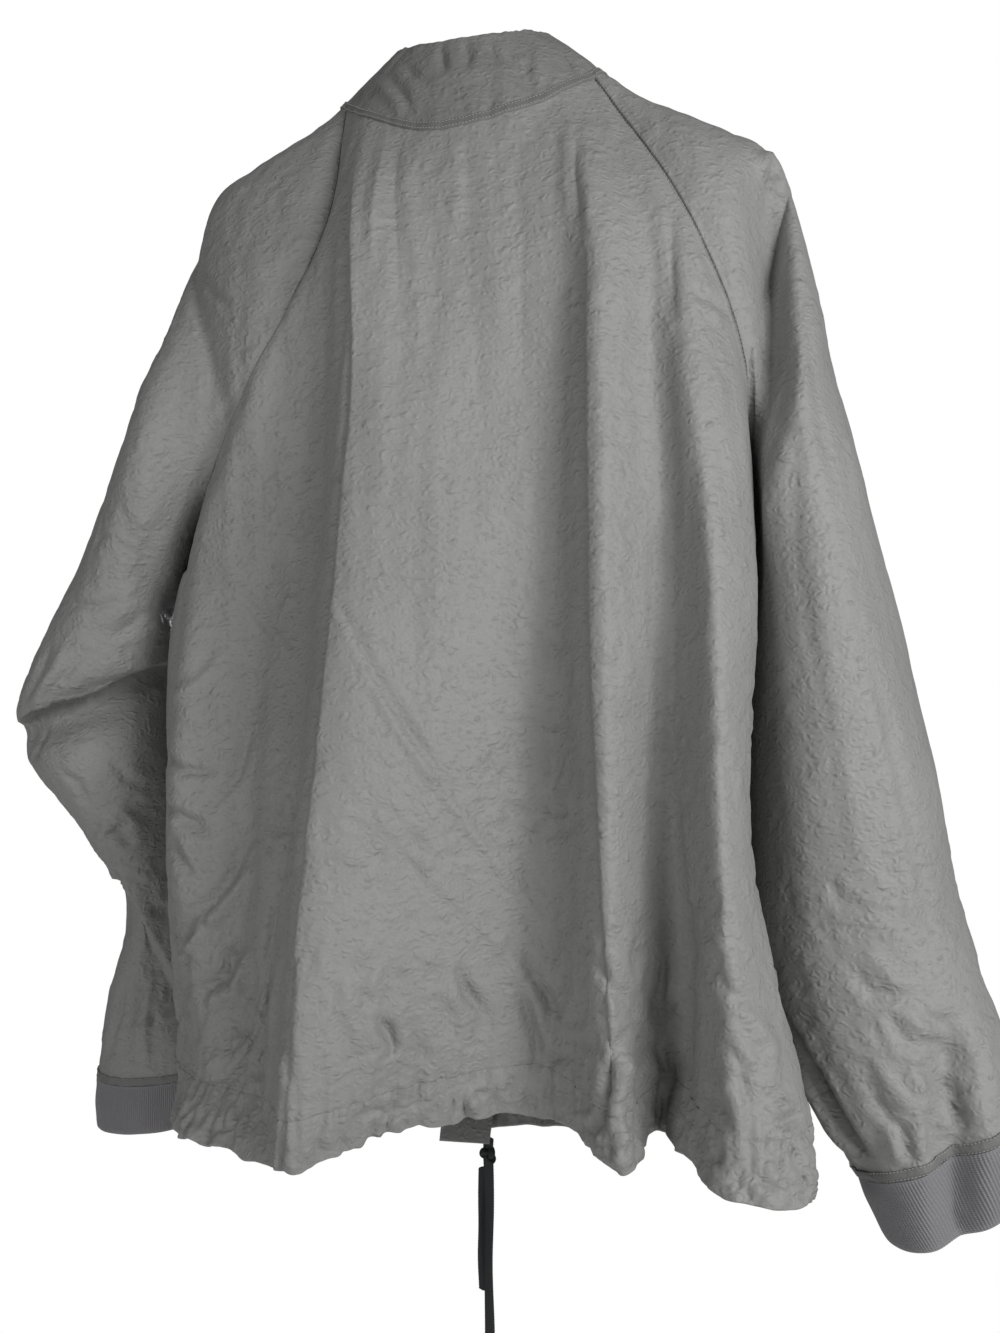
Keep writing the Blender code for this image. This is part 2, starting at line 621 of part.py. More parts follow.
def build():
    clear_scene()
    garment = bpy.data.collections.new("windbreaker_jacket")
    bpy.context.scene.collection.children.link(garment)
    nylon = material("grey_nylon", (0.25, 0.25, 0.245), 0.6)
    rib_knit = material("grey_rib_knit", (0.17, 0.165, 0.17), 0.9)
    binding_cloth = material("grey_binding", (0.24, 0.24, 0.235), 0.7)
    tape_cloth = material("dark_zip_tape", (0.03, 0.03, 0.03), 0.9)
    zip_plastic = material("dark_zip_chain", (0.02, 0.02, 0.02), 0.5)
    zip_metal = material("zip_slider_metal", (0.25, 0.25, 0.26), 0.35, 1.0)
    cord_cloth = material("black_cord", (0.006, 0.008, 0.009), 0.8)

    lines, starts = body_lines()
    arm = starts["arm"]
    band = starts["band"]
    back = panel_grid(lines, starts, BACK)
    right = panel_grid(lines, starts, RIGHT_FRONT)
    left = panel_grid(lines, starts, LEFT_FRONT)
    sleeves = {
        "left": sleeve_rows("left", lines[0], lines[23], arm),
        "right": sleeve_rows("right", lines[11], lines[12], arm),
    }
    yoke = starts["yoke"]
    sides = {
        "left": [np.concatenate([left[r][-7:-1], back[r][:7]]) for r in range(yoke, len(back))],
        "right": [np.concatenate([back[r][-7:], right[r][1:7]])[::-1] for r in range(yoke, len(back))],
    }
    for side, outlines in sides.items():
        sleeves[side] = clear_of_body(sleeves[side], side, outlines, arm)
        sleeves[side][0] = on_chords(sleeves[side][0], NECK_STRIDE)

    cloth = Cloth()
    cloth.add("back", [row[::-1] for row in back[:band + 1]])
    cloth.add("front_right", [row[::-1] for row in right[:band + 1]])
    cloth.add("front_left", [row[::-1] for row in left[:band + 1]])
    sleeve_index = {}
    for side, rows in (("left", sleeves["left"]), ("right", [row[::-1] for row in sleeves["right"]])):
        cut = SLEEVE_PART[side]
        upper = cloth.add("sleeve_" + side, rows[:cut + 1])
        lower = cloth.add("sleeve_" + side + "_lower", rows[cut:])
        sleeve_index[side] = upper + lower[1:]
    around = [np.concatenate([left[r], back[r][1:], right[r][1:]])[::-1] for r in range(band, len(back))]
    hem_index = cloth.add("hem_channel", around)
    neck = np.concatenate([left[0], sleeves["left"][0][::-NECK_STRIDE][1:], back[0][1:],
                           sleeves["right"][0][::NECK_STRIDE][1:], right[0][1:]])
    collar = collar_rows(neck)
    collar_index = cloth.add("collar", [row[::-1] for row in collar])

    points, normals = cloth.normals()
    for name, faces in cloth.faces.items():
        drawn = inset(points, faces, SEAM_GAP / 2)
        if name == "hem_channel":
            skin = hem_wall(hem_index, drawn, normals)
        else:
            skin = wall(drawn, normals, faces, CLOTH)
        place(garment, name, *skin, nylon)

    # Binding over the neck seam, from the first row of the panels to the first of the collar.
    above = np.array(collar_index[-2])[::-1]
    seam = np.array(collar_index[-1])[::-1]
    below = np.concatenate([left[1], sleeves["left"][1][::-NECK_STRIDE][1:], back[1][1:],
                            sleeves["right"][1][::NECK_STRIDE][1:], right[1][1:]])
    below = np.array([cloth.vertex(p) for p in below])
    rows = []
    away = []
    for side, sign in ((above, 1), (seam, 0), (below, -1)):
        step = np.linalg.norm(points[side] - points[seam], axis=1, keepdims=True)
        part = BINDING_HALF / step if sign else np.zeros_like(step)
        rows.append(between(points[seam], points[side], part)[::-1])
        away.append(between(normals[seam], normals[side], part)[::-1])
    lift = CLOTH / 2 + STRIP_GAP + STRIP / 2
    trimmed = slice(1, -1)
    skin = grid_wall(np.array(rows)[:, trimmed], np.array(away)[:, trimmed], STRIP, lift)
    place(garment, "neck_binding", *skin, binding_cloth)

    # Cuffs: a strip that lies on the sleeve's end, then the ribbed ring below it.
    for side in ("left", "right"):
        index = np.array(sleeve_index[side])
        last, prior = index[-1], index[-2]
        step = np.linalg.norm(points[prior] - points[last], axis=1, keepdims=True)
        rows = []
        away = []
        for distance in (CUFF_STRIP - 0.0002, 0.0005):
            rows.append(between(points[last], points[prior], distance / step)[:-1])
            away.append(between(normals[last], normals[prior], distance / step)[:-1])
        place(garment, "cuff_strip_" + side, *closed_wall(rows, away, away, STRIP, lift), binding_cloth)

        rings = cuff_rings(side, CUFF_COLUMNS, 2)
        down = unit(rings[-1].mean(axis=0) - rings[0].mean(axis=0))
        rings[0] += down * SEAM_GAP
        if side == "right":
            rings = rings[:, ::-1]
        rings = rings[:, :-1]
        centres = rings.mean(axis=1, keepdims=True)
        along = np.roll(rings, -1, axis=1) - np.roll(rings, 1, axis=1)
        outward = unit(np.cross(down, along))
        if np.sum(outward * (rings - centres)) < 0:
            outward = -outward
        ribbed = outward * (1 + 2 * RIB_HEIGHT / RIB_WALL * (np.arange(CUFF_COLUMNS) % 2))[None, :, None]
        place(garment, "cuff_" + side, *closed_wall(rings, ribbed, outward, RIB_WALL, 0.0), rib_knit)

    # Zip: tapes inside the front edges, chain between them, from the collar's top to the hem.
    left_edge = np.concatenate([collar[:, 0], left[1:, 0]])
    left_next = np.concatenate([collar[:, 1], left[1:, 1]])
    right_edge = np.concatenate([collar[:, -1], right[1:, -1]])
    right_next = np.concatenate([collar[:, -2], right[1:, -2]])
    pick = {"left": (left_edge, left_next), "right": (right_edge, right_next)}
    find = {k: tuple(normals[[cloth.vertex(p) for p in v]] for v in pair) for k, pair in pick.items()}
    middle = (left_edge + right_edge) / 2
    outward = unit(find["left"][0] + find["right"][0])
    across = unit(left_edge - right_edge)
    half = np.linalg.norm(left_edge - right_edge, axis=1, keepdims=True) / 2
    tape_shift = -(CLOTH / 2 + ZIP_TAPE_GAP + ZIP_TAPE / 2)
    for side, sign in (("left", 1), ("right", -1)):
        edge, beyond = pick[side]
        edge_normal, beyond_normal = find[side]
        step = np.linalg.norm(beyond - edge, axis=1, keepdims=True)
        part = np.minimum((ZIP_TAPE_HALF - half) / step, 1.0)
        rows = [between(edge, beyond, part), edge, middle + sign * across * SEAM_GAP * 1.5]
        away = [between(edge_normal, beyond_normal, part), edge_normal, outward]
        rows = np.array(rows).transpose(1, 0, 2)
        away = np.array(away).transpose(1, 0, 2)
        if side == "left":
            rows, away = rows[:, ::-1], away[:, ::-1]
        place(garment, "zip_tape_" + side, *grid_wall(rows, away, ZIP_TAPE, tape_shift), tape_cloth)
    rows = np.array([middle - across * ZIP_CHAIN_HALF, middle + across * ZIP_CHAIN_HALF])
    away = np.array([outward, outward])
    chain_shift = tape_shift + ZIP_TAPE / 2 + SEAM_GAP + ZIP_CHAIN / 2
    skin = grid_wall(rows.transpose(1, 0, 2), away.transpose(1, 0, 2), ZIP_CHAIN, chain_shift)
    place(garment, "zip_chain", *skin, zip_plastic)

    # Slider on the chain near the collar's top, and its pull tab hanging in front.
    at = between(middle[1], middle[2], 0.4)
    front = outward[1]
    down = unit(middle[2] - middle[1])
    side_way = across[1]
    base = at + front * (chain_shift + ZIP_CHAIN / 2 + SEAM_GAP)
    w, d, h = SLIDER
    outline = [(-w / 2, -h * 0.3), (-w / 2, 0), (-w * 0.3, h / 2), (w * 0.3, h / 2), (w / 2, 0),
               (w / 2, -h * 0.3), (w * 0.25, -h / 2), (-w * 0.25, -h / 2)]
    low = [base + side_way * x + down * -z for x, z in outline]
    high = [p + front * 0.0022 for p in low]
    plate(garment, "zip_slider", (low, high), zip_metal)
    w, d, h = TAB
    hinge = base + front * (0.0022 + TAB_CLEAR + d / 2)
    outline = [(-w / 2, 0.0006), (-w / 2, h * 0.8), (-w * 0.3, h), (w * 0.3, h), (w / 2, h * 0.8),
               (w / 2, 0.0006), (w * 0.3, -0.0010), (-w * 0.3, -0.0010)]
    low = [hinge - front * d / 2 + side_way * x + down * z for x, z in outline]
    high = [p + front * d for p in low]
    plate(garment, "zip_pull", (low, high), zip_metal)

    # Wind flap behind the zip, a little longer than the fronts.
    rows = []
    away = []
    start = len(collar) - 1
    for r in [*range(start, len(middle) - 2, 2), len(middle) - 1]:
        rows.append([middle[r] - across[r] * FLAP_RIGHT, middle[r], middle[r] + across[r] * FLAP_LEFT])
        away.append([outward[r]] * 3)
    rows.append([p + np.array([0.0, 0.004, -FLAP_BELOW]) for p in rows[-1]])
    away.append(away[-1])
    skin = grid_wall(np.array(rows), np.array(away), CLOTH, -FLAP_INSIDE)
    place(garment, "wind_flap", *skin, nylon)

    # Drawcord: it leaves the hem beside the zip, is knotted, and hangs in two ends.
    tube(garment, "drawcord_neck", CORD_NECK, CORD_DIAMETER, cord_cloth)
    tube(garment, "drawcord_long", CORD_LONG, CORD_DIAMETER, cord_cloth)
    tube(garment, "drawcord_short", CORD_SHORT, CORD_DIAMETER, cord_cloth)
    lump(garment, "drawcord_knot", *KNOT, cord_cloth)


build()
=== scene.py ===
"""Looks of the windbreaker jacket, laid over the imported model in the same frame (metres, +Z up).

Every cloth piece is a thin crumpled shell on the model's own surface: the same fold lines and
sleeve sections, drawn finer, then moved in and out by creases, gathers, puckers and a soft
crumple. +X is the wearer's left, +Y the back.
"""

import math

import bpy
import numpy as np
from mathutils import Matrix, Vector


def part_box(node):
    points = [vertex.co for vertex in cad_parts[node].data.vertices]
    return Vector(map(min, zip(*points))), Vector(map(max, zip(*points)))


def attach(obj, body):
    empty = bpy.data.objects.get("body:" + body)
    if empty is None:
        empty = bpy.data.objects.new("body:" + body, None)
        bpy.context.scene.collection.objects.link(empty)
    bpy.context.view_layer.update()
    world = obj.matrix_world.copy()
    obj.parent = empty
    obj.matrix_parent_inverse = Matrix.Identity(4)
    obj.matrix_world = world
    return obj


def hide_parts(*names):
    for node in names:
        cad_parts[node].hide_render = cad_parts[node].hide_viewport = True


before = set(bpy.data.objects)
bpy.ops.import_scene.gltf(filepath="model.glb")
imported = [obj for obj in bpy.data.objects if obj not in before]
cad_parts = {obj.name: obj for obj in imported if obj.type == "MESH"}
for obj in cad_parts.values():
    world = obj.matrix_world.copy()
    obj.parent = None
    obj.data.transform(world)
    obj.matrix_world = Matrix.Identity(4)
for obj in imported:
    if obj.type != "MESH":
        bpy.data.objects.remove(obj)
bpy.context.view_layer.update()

# ---------------------------------------------------------------- the garment's own sizes
MM = 0.001
TINY = 1e-12
# Points of two panels that agree to a hundredth of a millimetre are one
SAME_PLACE = 1e5
# Thickness of a nylon shell
SHELL = 0.0009

# The neck seam
NECK_HALF_WIDTH = 0.099
NECK_HALF_DEPTH = 0.078
NECK_SIDE_Z = -0.006
NECK_TILT = 0.004
NECK_BACK_DROP = 0.054
NECK_FRONT_DROP = 0.078

# Levels of the body's fold lines: heights, the channel's height and rows of faces in the solids
HEIGHTS = {"top": -0.13, "yoke": -0.24, "arm": -0.365, "low": -0.56}
CHANNEL = 0.032
ROWS = {"top": 3, "yoke": 3, "arm": 4, "low": 4, "band": 5, "hem": 2}
LEVELS = ("hem", "band", "low", "arm", "yoke", "top")

# Fold lines of the body: left side seam, across the back, right side seam, across the fronts.
# Each has its neck angle, its hem's height, its (x, y) at hem, band, low, arm, yoke and top, and
# the columns of faces after it, in millimetres; l_ and r_ are the wearer's left and right.
BODY_LINES = (
    ("l_seam", 22, -760, (210, 35), (222, 25), (240, 5), (232, 0), (157, 72), (96, 73), 3),
    ("l_bulge", 27, -758, (193, 100), (184, 88), (200, 75), (200, 55), (147, 78), (92, 80), 3),
    ("l_hollow", 31, -755, (146, 128), (142, 112), (146, 98), (146, 70), (122, 80), (87, 85), 3),
    ("ridge1_foot", 36, -754, (112, 148), (112, 130), (105, 118), (99, 86), (90, 89), (79, 92), 3),
    ("ridge1", 46, -753, (84, 166), (86, 168), (77, 158), (66, 129), (60, 118), (64, 105), 6),
    ("middle", 82, -742, (34, 122), (22, 128), (10, 130), (7, 118), (9, 110), (19, 98), 5),
    ("valley1", 124, -735, (-64, 88), (-65, 86), (-66, 84), (-69, 90), (-72, 89), (-75, 86), 4),
    ("ridge2", 137, -748, (-122, 140), (-116, 139), (-110, 130), (-105, 119), (-103, 109), (-98, 95), 3),
    ("valley2", 145, -737, (-139, 91), (-145, 88), (-144, 88), (-147, 88), (-139, 86), (-130, 81), 3),
    ("ridge3", 150, -747, (-183, 172), (-188, 163), (-181, 139), (-175, 113), (-162, 96), (-146, 79), 3),
    ("ridge3_edge", 154, -750, (-230, 160), (-232, 134), (-201, 98), (-204, 74), (-192, 74), (-154, 75), 3),
    ("r_seam", 158, -757, (-226, 60), (-216, 35), (-181, 2), (-186, 0), (-199, 56), (-161, 70), 0),
    ("r_seam", 202, -757, (-226, 60), (-216, 35), (-181, 2), (-186, 0), (-190, -58), (-137, -66), 3),
    ("r_front", 209, -768, (-205, -40), (-203, -52), (-184, -62), (-181, -60), (-172, -78), (-126, -73), 3),
    ("r_fold", 218, -781, (-140, -90), (-140, -108), (-135, -114), (-135, -105), (-125, -98), (-97, -83), 3),
    ("r_valley", 232, -789, (-82, -50), (-85, -62), (-85, -76), (-85, -86), (-80, -88), (-68, -86), 3),
    ("r_roll", 250, -796, (-30, -62), (-30, -80), (-34, -98), (-37, -105), (-37, -104), (-34, -95), 2),
    ("zip_right", 267.6, -800, (8, -46), (6, -64), (4, -86), (0, -102), (-2, -104), (-4, -97), 0),
    ("zip_left", 272.4, -800, (16, -46), (14, -64), (12, -86), (8, -102), (6, -104), (4, -97), 2),
    ("l_roll", 290, -798, (54, -64), (52, -84), (48, -102), (45, -107), (42, -105), (34, -95), 3),
    ("l_valley", 308, -792, (100, -46), (100, -60), (100, -74), (95, -86), (85, -89), (68, -87), 3),
    ("l_fold", 322, -782, (150, -78), (150, -96), (155, -104), (150, -100), (125, -95), (90, -83), 3),
    ("l_front", 331, -772, (196, -34), (202, -46), (210, -54), (204, -54), (150, -79), (100, -76), 3),
    ("l_seam", 338, -760, (210, 35), (222, 25), (240, 5), (232, 0), (162, -64), (103, -68), 0),
)
BACK = (0, 11)
RIGHT_FRONT = (12, 17)
LEFT_FRONT = (18, 23)

# Shoulder line of each sleeve, neck to the ring that closes at the armpit: x, y, z
SHOULDER = {
    "left": ((.135, .0, -.031), (.170, .0, -.049), (.196, .0, -.063), (.210, -.001, -.083),
             (.219, -.002, -.115), (.231, -.003, -.160), (.243, -.004, -.192)),
    "right": ((-.135, .0, -.0265), (-.175, .0, -.045), (-.212, .0, -.0615), (-.2255, .0, -.080),
              (-.237, .0, -.120), (-.247, .0, -.165), (-.256, .0, -.205)),
}

# Sleeve sections below the armpit: name, inner edge, outer edge, half depth, rows before it
SLEEVE = {
    "left": (
        ("armpit", (.232, .000, -.365), (.243, -.004, -.192), .078, 0),
        ("upper", (.245, -.022, -.386), (.289, -.006, -.290), .076, 3),
        ("above_elbow", (.249, -.032, -.408), (.349, -.006, -.402), .072, 3),
        ("elbow_lip", (.251, -.036, -.430), (.375, -.004, -.470), .068, 3),
        ("elbow_tuck", (.253, -.050, -.438), (.377, -.018, -.488), .060, 1),
        ("below_elbow", (.253, -.048, -.500), (.374, -.020, -.514), .060, 2),
        ("forearm", (.255, -.062, -.575), (.343, -.050, -.568), .052, 2),
        ("low_forearm", (.257, -.080, -.650), (.321, -.084, -.630), .048, 2),
        ("wrist", (.259, -.096, -.715), (.344, -.100, -.718), .045, 2),
        ("cuff_seam", (.264, -.100, -.784), (.355, -.102, -.787), .041, 2),
    ),
    "right": (
        ("armpit", (-.186, .000, -.365), (-.256, .000, -.205), .084, 0),
        ("upper", (-.198, .000, -.400), (-.284, .002, -.320), .088, 3),
        ("above_elbow", (-.199, .006, -.455), (-.307, .010, -.420), .086, 2),
        ("elbow", (-.200, .015, -.525), (-.324, .018, -.500), .079, 2),
        ("forearm", (-.202, .028, -.600), (-.338, .028, -.588), .070, 2),
        ("low_forearm", (-.212, .046, -.660), (-.352, .040, -.646), .062, 2),
        ("wrist", (-.238, .066, -.715), (-.365, .048, -.685), .055, 2),
        ("cuff_seam", (-.269, .086, -.762), (-.374, .048, -.718), .047, 2),
    ),
}

# Long dents pressed into the back of a sleeve: side, start and end (x, z), half width, depth
DENTS = (
    ("right", (-.214, -.080), (-.214, -.290), .015, .021),
    ("right", (-.316, -.650), (-.326, -.830), .013, .016),
    ("left", (.250, -.520), (.275, -.700), .014, .010),
)
SLEEVE_COLUMNS = 20
# A sleeve hangs free of the body by this much, reached at this rate from where it is sewn on
SLEEVE_CLEAR = 0.0055
SLEEVE_OPENS = 0.4
# The body's side that a sleeve keeps clear of: its columns, and every so many rows
SIDE_COLUMNS = 6
SIDE_ROWS = 6
# The sleeve's surface is evened out round the armpit: rows that it reaches over, and passes
ARMPIT_ROWS = 22.0
ARMPIT_PASSES = 60
# Lower end of each cuff: inner edge, outer edge, half depth, downward lean of the near side
CUFF_END = {
    "left": ((.268, -.104, -.826), (.358, -.108, -.832), .037, .0),
    "right": ((-.289, .095, -.800), (-.372, .042, -.752), .040, -.22),
}
RIBS = 164
RIB_HEIGHT = 0.00045
KNIT_THICK = 0.0018
# How far a cuff starts below its seam, and its waves: noise, its bumps' size and a soft swell
CUFF_GAP = 0.0003
CUFF_WAVE, CUFF_WAVE_SIZE, CUFF_SWELL = 0.0011, 0.02, 0.0008

# Collar rings above the neck seam: half width, half depth, side height, back drop, front drop
COLLAR = (
    (.085, .072, .010, .048, .062),
    (.070, .064, .022, .033, .046),
    (.060, .055, .030, .018, .032),
)
COLLAR_SLOPE = 0.05
# Degrees from the front over which the collar keeps the zip's width
COLLAR_ZIP_REACH = 40
COLLAR_THICK = 0.0016

# The drawcord: places along its long end, its short end and its way out of the hem, and its knot
CORD_LONG = ((-.0012, -.0475, -.8284), (-.0018, -.0478, -.860), (-.0010, -.0482, -.905),
             (-.0020, -.0480, -.950), (-.0024, -.0478, -.985))
CORD_SHORT = ((.0038, -.0520, -.8284), (.0044, -.0535, -.860), (.0048, -.0540, -.895),
              (.0036, -.0537, -.926))
CORD_NECK = ((-.0010, -.0480, -.8032), (-.0010, -.0482, -.8053), (-.0008, -.0483, -.8074))
KNOT_CENTRE = (-.0004, -.0495, -.8176)
KNOT_SIZE = (0.00150, 0.0026, 0.00205)
KNOT_TURN = 24
KNOT_STRAND = (0.0031, 0.0020)
KNOT_ROUND = 20
CORD_WIDTH = 0.0085
CORD_THICK = 0.0024
CORD_FACES = (0.10, 1.0, 0.0)
CORD_STEP = 0.00055
CORD_ROUND = 28
PLAIT = 0.0022
PLAIT_SLANT = 0.0024
SEALED_END = 0.0015
PATH_POINTS = 26

# Raised strips: distances from the seam of the lines that they are drawn on, points left out at
# each front edge, heights above the cloth, share of it at an edge, thickness and stitches
BINDING_LINES = (.0, .0010, .0022, .0032, .0036)
BINDING_TRIM = 3
STRIP_LINES = (.0068, .0064, .0050, .0036, .0022, .0010, .0004)
BINDING_LIFT = 0.0013
STRIP_LIFT = 0.0012
STRIP_EDGE = 0.25
STRIP_THICK = 0.0008
STRIP_PITCH = 0.0024

# Rows of stitches: name, thread's radius, lift, first and last point kept, then panel, border and
# distance from it. The raglan rows end at the armpit.
SEAM_ROWS = (
    ("hem_stitches", 0.00024, 0.0, None, None, (
        ("back", "bottom", .0022), ("front_left", "bottom", .0022), ("front_right", "bottom", .0022))),
    ("raglan_stitches", 0.00028, 0.0002, 3, "arm", (
        ("sleeve_left", "left", .0016), ("sleeve_left", "right", .0016), ("sleeve_right", "left", .0024),
        ("sleeve_right", "right", .0024), ("back", "left", .0024), ("front_right", "right", .0024))),
    ("front_stitches", 0.00028, 0.0002, 4, -4, (
        ("front_left", "right", .0048), ("front_right", "left", .0048), ("collar", "right", .0048),
        ("collar", "left", .0048), ("collar", "top", .0048))),
)
# Stitches: pitch, thread's radius, lift, a stitch's share of the pitch, how far to each side its
# direction is measured, and rings along it, each with its share of the full radius
STITCH_PITCH = 0.0030
THREAD = 0.00034
STITCH_LIFT = 0.0002
STITCH_SHARE = 0.78
STITCH_AHEAD = 0.0004
STITCH_RINGS = ((-1.0, 0.45), (-0.55, 1.0), (0.55, 1.0), (1.0, 0.45))

# The zip: tapes, teeth as rings (depth, half width, half length), slider, bridge and pull tab.
# Outlines are (across, down) in shares of the size; levels are a height and a share of the outline.
TAPE_REACH = 0.0095
TAPE_SHIFT = -0.00195
TAPE_THICK = 0.0008
TAPE_INSIDE = (0.0018, 0.0006)
TOOTH_PITCH = 0.00150
TOOTH_ASIDE = 0.0008
TOOTH_SUNK = 0.00025
TOOTH = ((-0.0009, 0.0019, 0.00050), (0.0003, 0.0019, 0.00062), (0.0009, 0.0013, 0.00040))
SLIDER_SIZE = (0.0090, 0.0125)
SLIDER_HALF = 0.0011
SLIDER_OUTLINE = ((-.50, .30), (-.50, 0), (-.44, -.28), (-.28, -.46), (-.10, -.50), (.10, -.50), (.28, -.46),
                  (.44, -.28), (.50, 0), (.50, .30), (.34, .46), (.20, .50), (-.20, .50), (-.34, .46))
SLIDER_LEVELS = ((0, .93), (.0003, 1), (.0014, 1), (.0020, .9), (.0022, .8))
BRIDGE_OUTLINE = ((-.0011, -.0046), (-.0011, .0046), (-.0006, .0052), (.0006, .0052), (.0011, .0046),
                  (.0011, -.0046), (.0006, -.0052), (-.0006, -.0052))
BRIDGE_LEVELS = ((.0021, 1), (.0026, 1), (.0030, .8))
PULL_SIZE = (0.0055, 0.0245)
PULL_OUTLINE = ((-.30, -.50), (-.46, -.44), (-.5, -.3), (-.5, 0), (-.5, .3), (-.42, .44), (-.25, .5),
                (.25, .5), (.42, .44), (.5, .3), (.5, 0), (.5, -.3), (.46, -.44), (.30, -.50))
PULL_LEVELS = ((-.0008, .92), (-.0006, 1), (.0006, 1), (.0008, .93), (.0008, .72), (.00045, .68))
# The wind flap: its two sides from the zip, how far behind it, and where its lower end goes
FLAP_SIDES = (-0.016, 0.024)
FLAP_DEPTH = 0.0052
FLAP_THICK = 0.0010
FLAP_WAVE, FLAP_WAVE_SIZE = 0.0007, (0.013, 0.013, 0.03)
FLAP_DROP = (0.0, 0.004, -0.007)

# ---------------------------------------------------------------- studio
# The photo's camera: place, heading and tilt in degrees, focal length in the photo's pixels
CAMERA_PLACE = (-0.178, 0.885, -0.45)
CAMERA_HEADING = 10.2
CAMERA_TILT = 1.0
FOCAL_PIXELS = 1200
IMAGE_HEIGHT = 1333
SENSOR = 36.0
FLOOR = -2.2
FLOOR_HALF = 2.0
SURROUND = 0.14
FLOOR_GLOW = 0.20
LAMP_AIM = (-0.02, 0.05, -0.42)
LAMP_SIZE = 0.55
# Soft lamps: name, place, power; the last one lights the side that the photo doesn't show.
LAMPS = (
    ("key", (-1.15, 1.02, 0.10), 18.0),
    ("side", (-1.35, 0.80, -0.50), 7.0),
    ("low", (-0.80, 1.50, -1.00), 4.0),
    ("left", (1.10, 1.60, -0.42), 12.0),
    ("far", (0.30, -2.20, -0.10), 30.0),
)

# ---------------------------------------------------------------- finer rows and columns
FINE_ROWS = {"top": 10, "yoke": 14, "arm": 12, "low": 20, "band": 12, "sleeve": 12}
FINE_COLUMNS = 7
HEM_COLUMNS = 11
HEM_ROWS = 13
COLLAR_ROWS = (10, 8, 9)
# Angles of the points round a rolled edge
ROLL_ANGLES = (30, 60, 90, 120, 150)
# A larger grid's hidden skin gets half the rows and columns; a border's line lies in its first rows
LARGE_GRID = 9000
BORDER_DEEP = 40

# ---------------------------------------------------------------- materials' sizes
# Crinkles in the bump: scale, depth and detail; WAVE_STEP is a wave node's band at scale 1
CRINKLES = ((70.0, 0.0034, 3.0), (200.0, 0.0031, 2.5))
CRINKLE_STRETCH = (1, 1, 1.35)
WAVE_STEP = 0.314
KNIT_ROW = 0.0011

# ---------------------------------------------------------------- the cloth's own movement
# Crumple: sizes of its bumps along x, y and z, and their heights; BEND moves the creases aside by
# a share of their size, and PATCH_SIZE is the size of the patches with more or less of it
SOFT_SIZE, SOFT_HEIGHT = (0.050, 0.050, 0.085), 0.0014
MIDDLE_SIZE, MIDDLE_HEIGHT = (0.028, 0.028, 0.026), 0.0038
SMALL_SIZE, SMALL_HEIGHT = (0.013, 0.013, 0.011), 0.0019
BAND_SIZE, BAND_HEIGHT = (0.013, 0.013, 0.16), 0.0009
BEND_SIZE, BEND = 0.03, 0.56
PATCH_SIZE = 0.07
# The left bulge: its x and z, its half width and half height
BULGE = (0.19, -0.62)
BULGE_HALF = (0.05, 0.09)
# The hem channel: height and size of its gathers, sizes of what bends them and makes them uneven,
# depth and size of the waves of its lower edge, and its fullness
HEM_GATHER, HEM_GATHER_SIZE = 0.0050, (0.0090, 0.0090, 0.030)
HEM_BEND_SIZE, HEM_UNEVEN_SIZE = 0.025, 0.04
HEM_DROP, HEM_DROP_SIZE = 0.0032, (0.021, 0.021, 0.2)
HEM_FULL = 0.0026
# Sewn edges: half width of the groove, place and half width of the ridge, size of uneven stretches,
# and how soon the zip and every other edge calm the cloth's own crumple
GROOVE_HALF = 0.0011
RIDGE_PLACE, RIDGE_HALF = 0.0028, 0.0015
UNEVEN_SIZE = 0.045
ZIP_CALM = 0.012
EDGE_CALM = 0.006

# How each kind of sewn edge moves the cloth beside it, in millimetres: groove at the seam, ridge
# beside it, height, reach and spacing of short puckers, then of long soft folds.
EDGES = {
    "raglan_left": (0.30, 0.20, 0.35, 6, 8, 0.5, 30, 26),
    "raglan_right": (0.45, 0.45, 0.45, 7, 9, 0.6, 30, 26),
    "side": (0.4, 0.2, 0.4, 7, 9, 0.5, 25, 22),
    "neck": (0.0, 0.0, 1.3, 10, 6, 1.0, 34, 15),
    "hem": (0.5, 0.0, 4.6, 16, 7, 3.4, 60, 20),
    "cuff": (0.4, 0.0, 2.8, 15, 7, 2.8, 55, 20),
    "free": (0.0, 0.0, 1.2, 9, 5.5, 0.8, 20, 20),
    "zip": (0.0, 0.0, 0.15, 8, 9, 0.3, 30, 26),
}
# The kind of each panel's edges; a pair changes at the armpit
RAGLAN = {side: ("raglan_" + side, "side") for side in ("left", "right")}
SEWN = {
    "back": {"top": "neck", "bottom": "hem", "left": RAGLAN["right"], "right": RAGLAN["left"]},
    "front_right": {"top": "neck", "bottom": "hem", "right": RAGLAN["right"], "left": "zip"},
    "front_left": {"top": "neck", "bottom": "hem", "left": RAGLAN["left"], "right": "zip"},
    "sleeve_left": {"top": "neck", "bottom": "cuff", "left": RAGLAN["left"], "right": RAGLAN["left"]},
    "sleeve_right": {"top": "neck", "bottom": "cuff", "left": RAGLAN["right"], "right": RAGLAN["right"]},
    "hem_channel": {"top": "hem", "left": "zip", "right": "zip"},
    "collar": {"top": "free", "bottom": "neck", "left": "zip", "right": "zip"},
}


# ---------------------------------------------------------------- smooth curves
def unit(vectors):
    """Vectors made one unit long."""
    vectors = np.asarray(vectors, float)
    return vectors / np.maximum(np.linalg.norm(vectors, axis=-1, keepdims=True), TINY)


def between(a, b, fraction):
    """A value part of the way from a to b."""
    return a + (b - a) * fraction


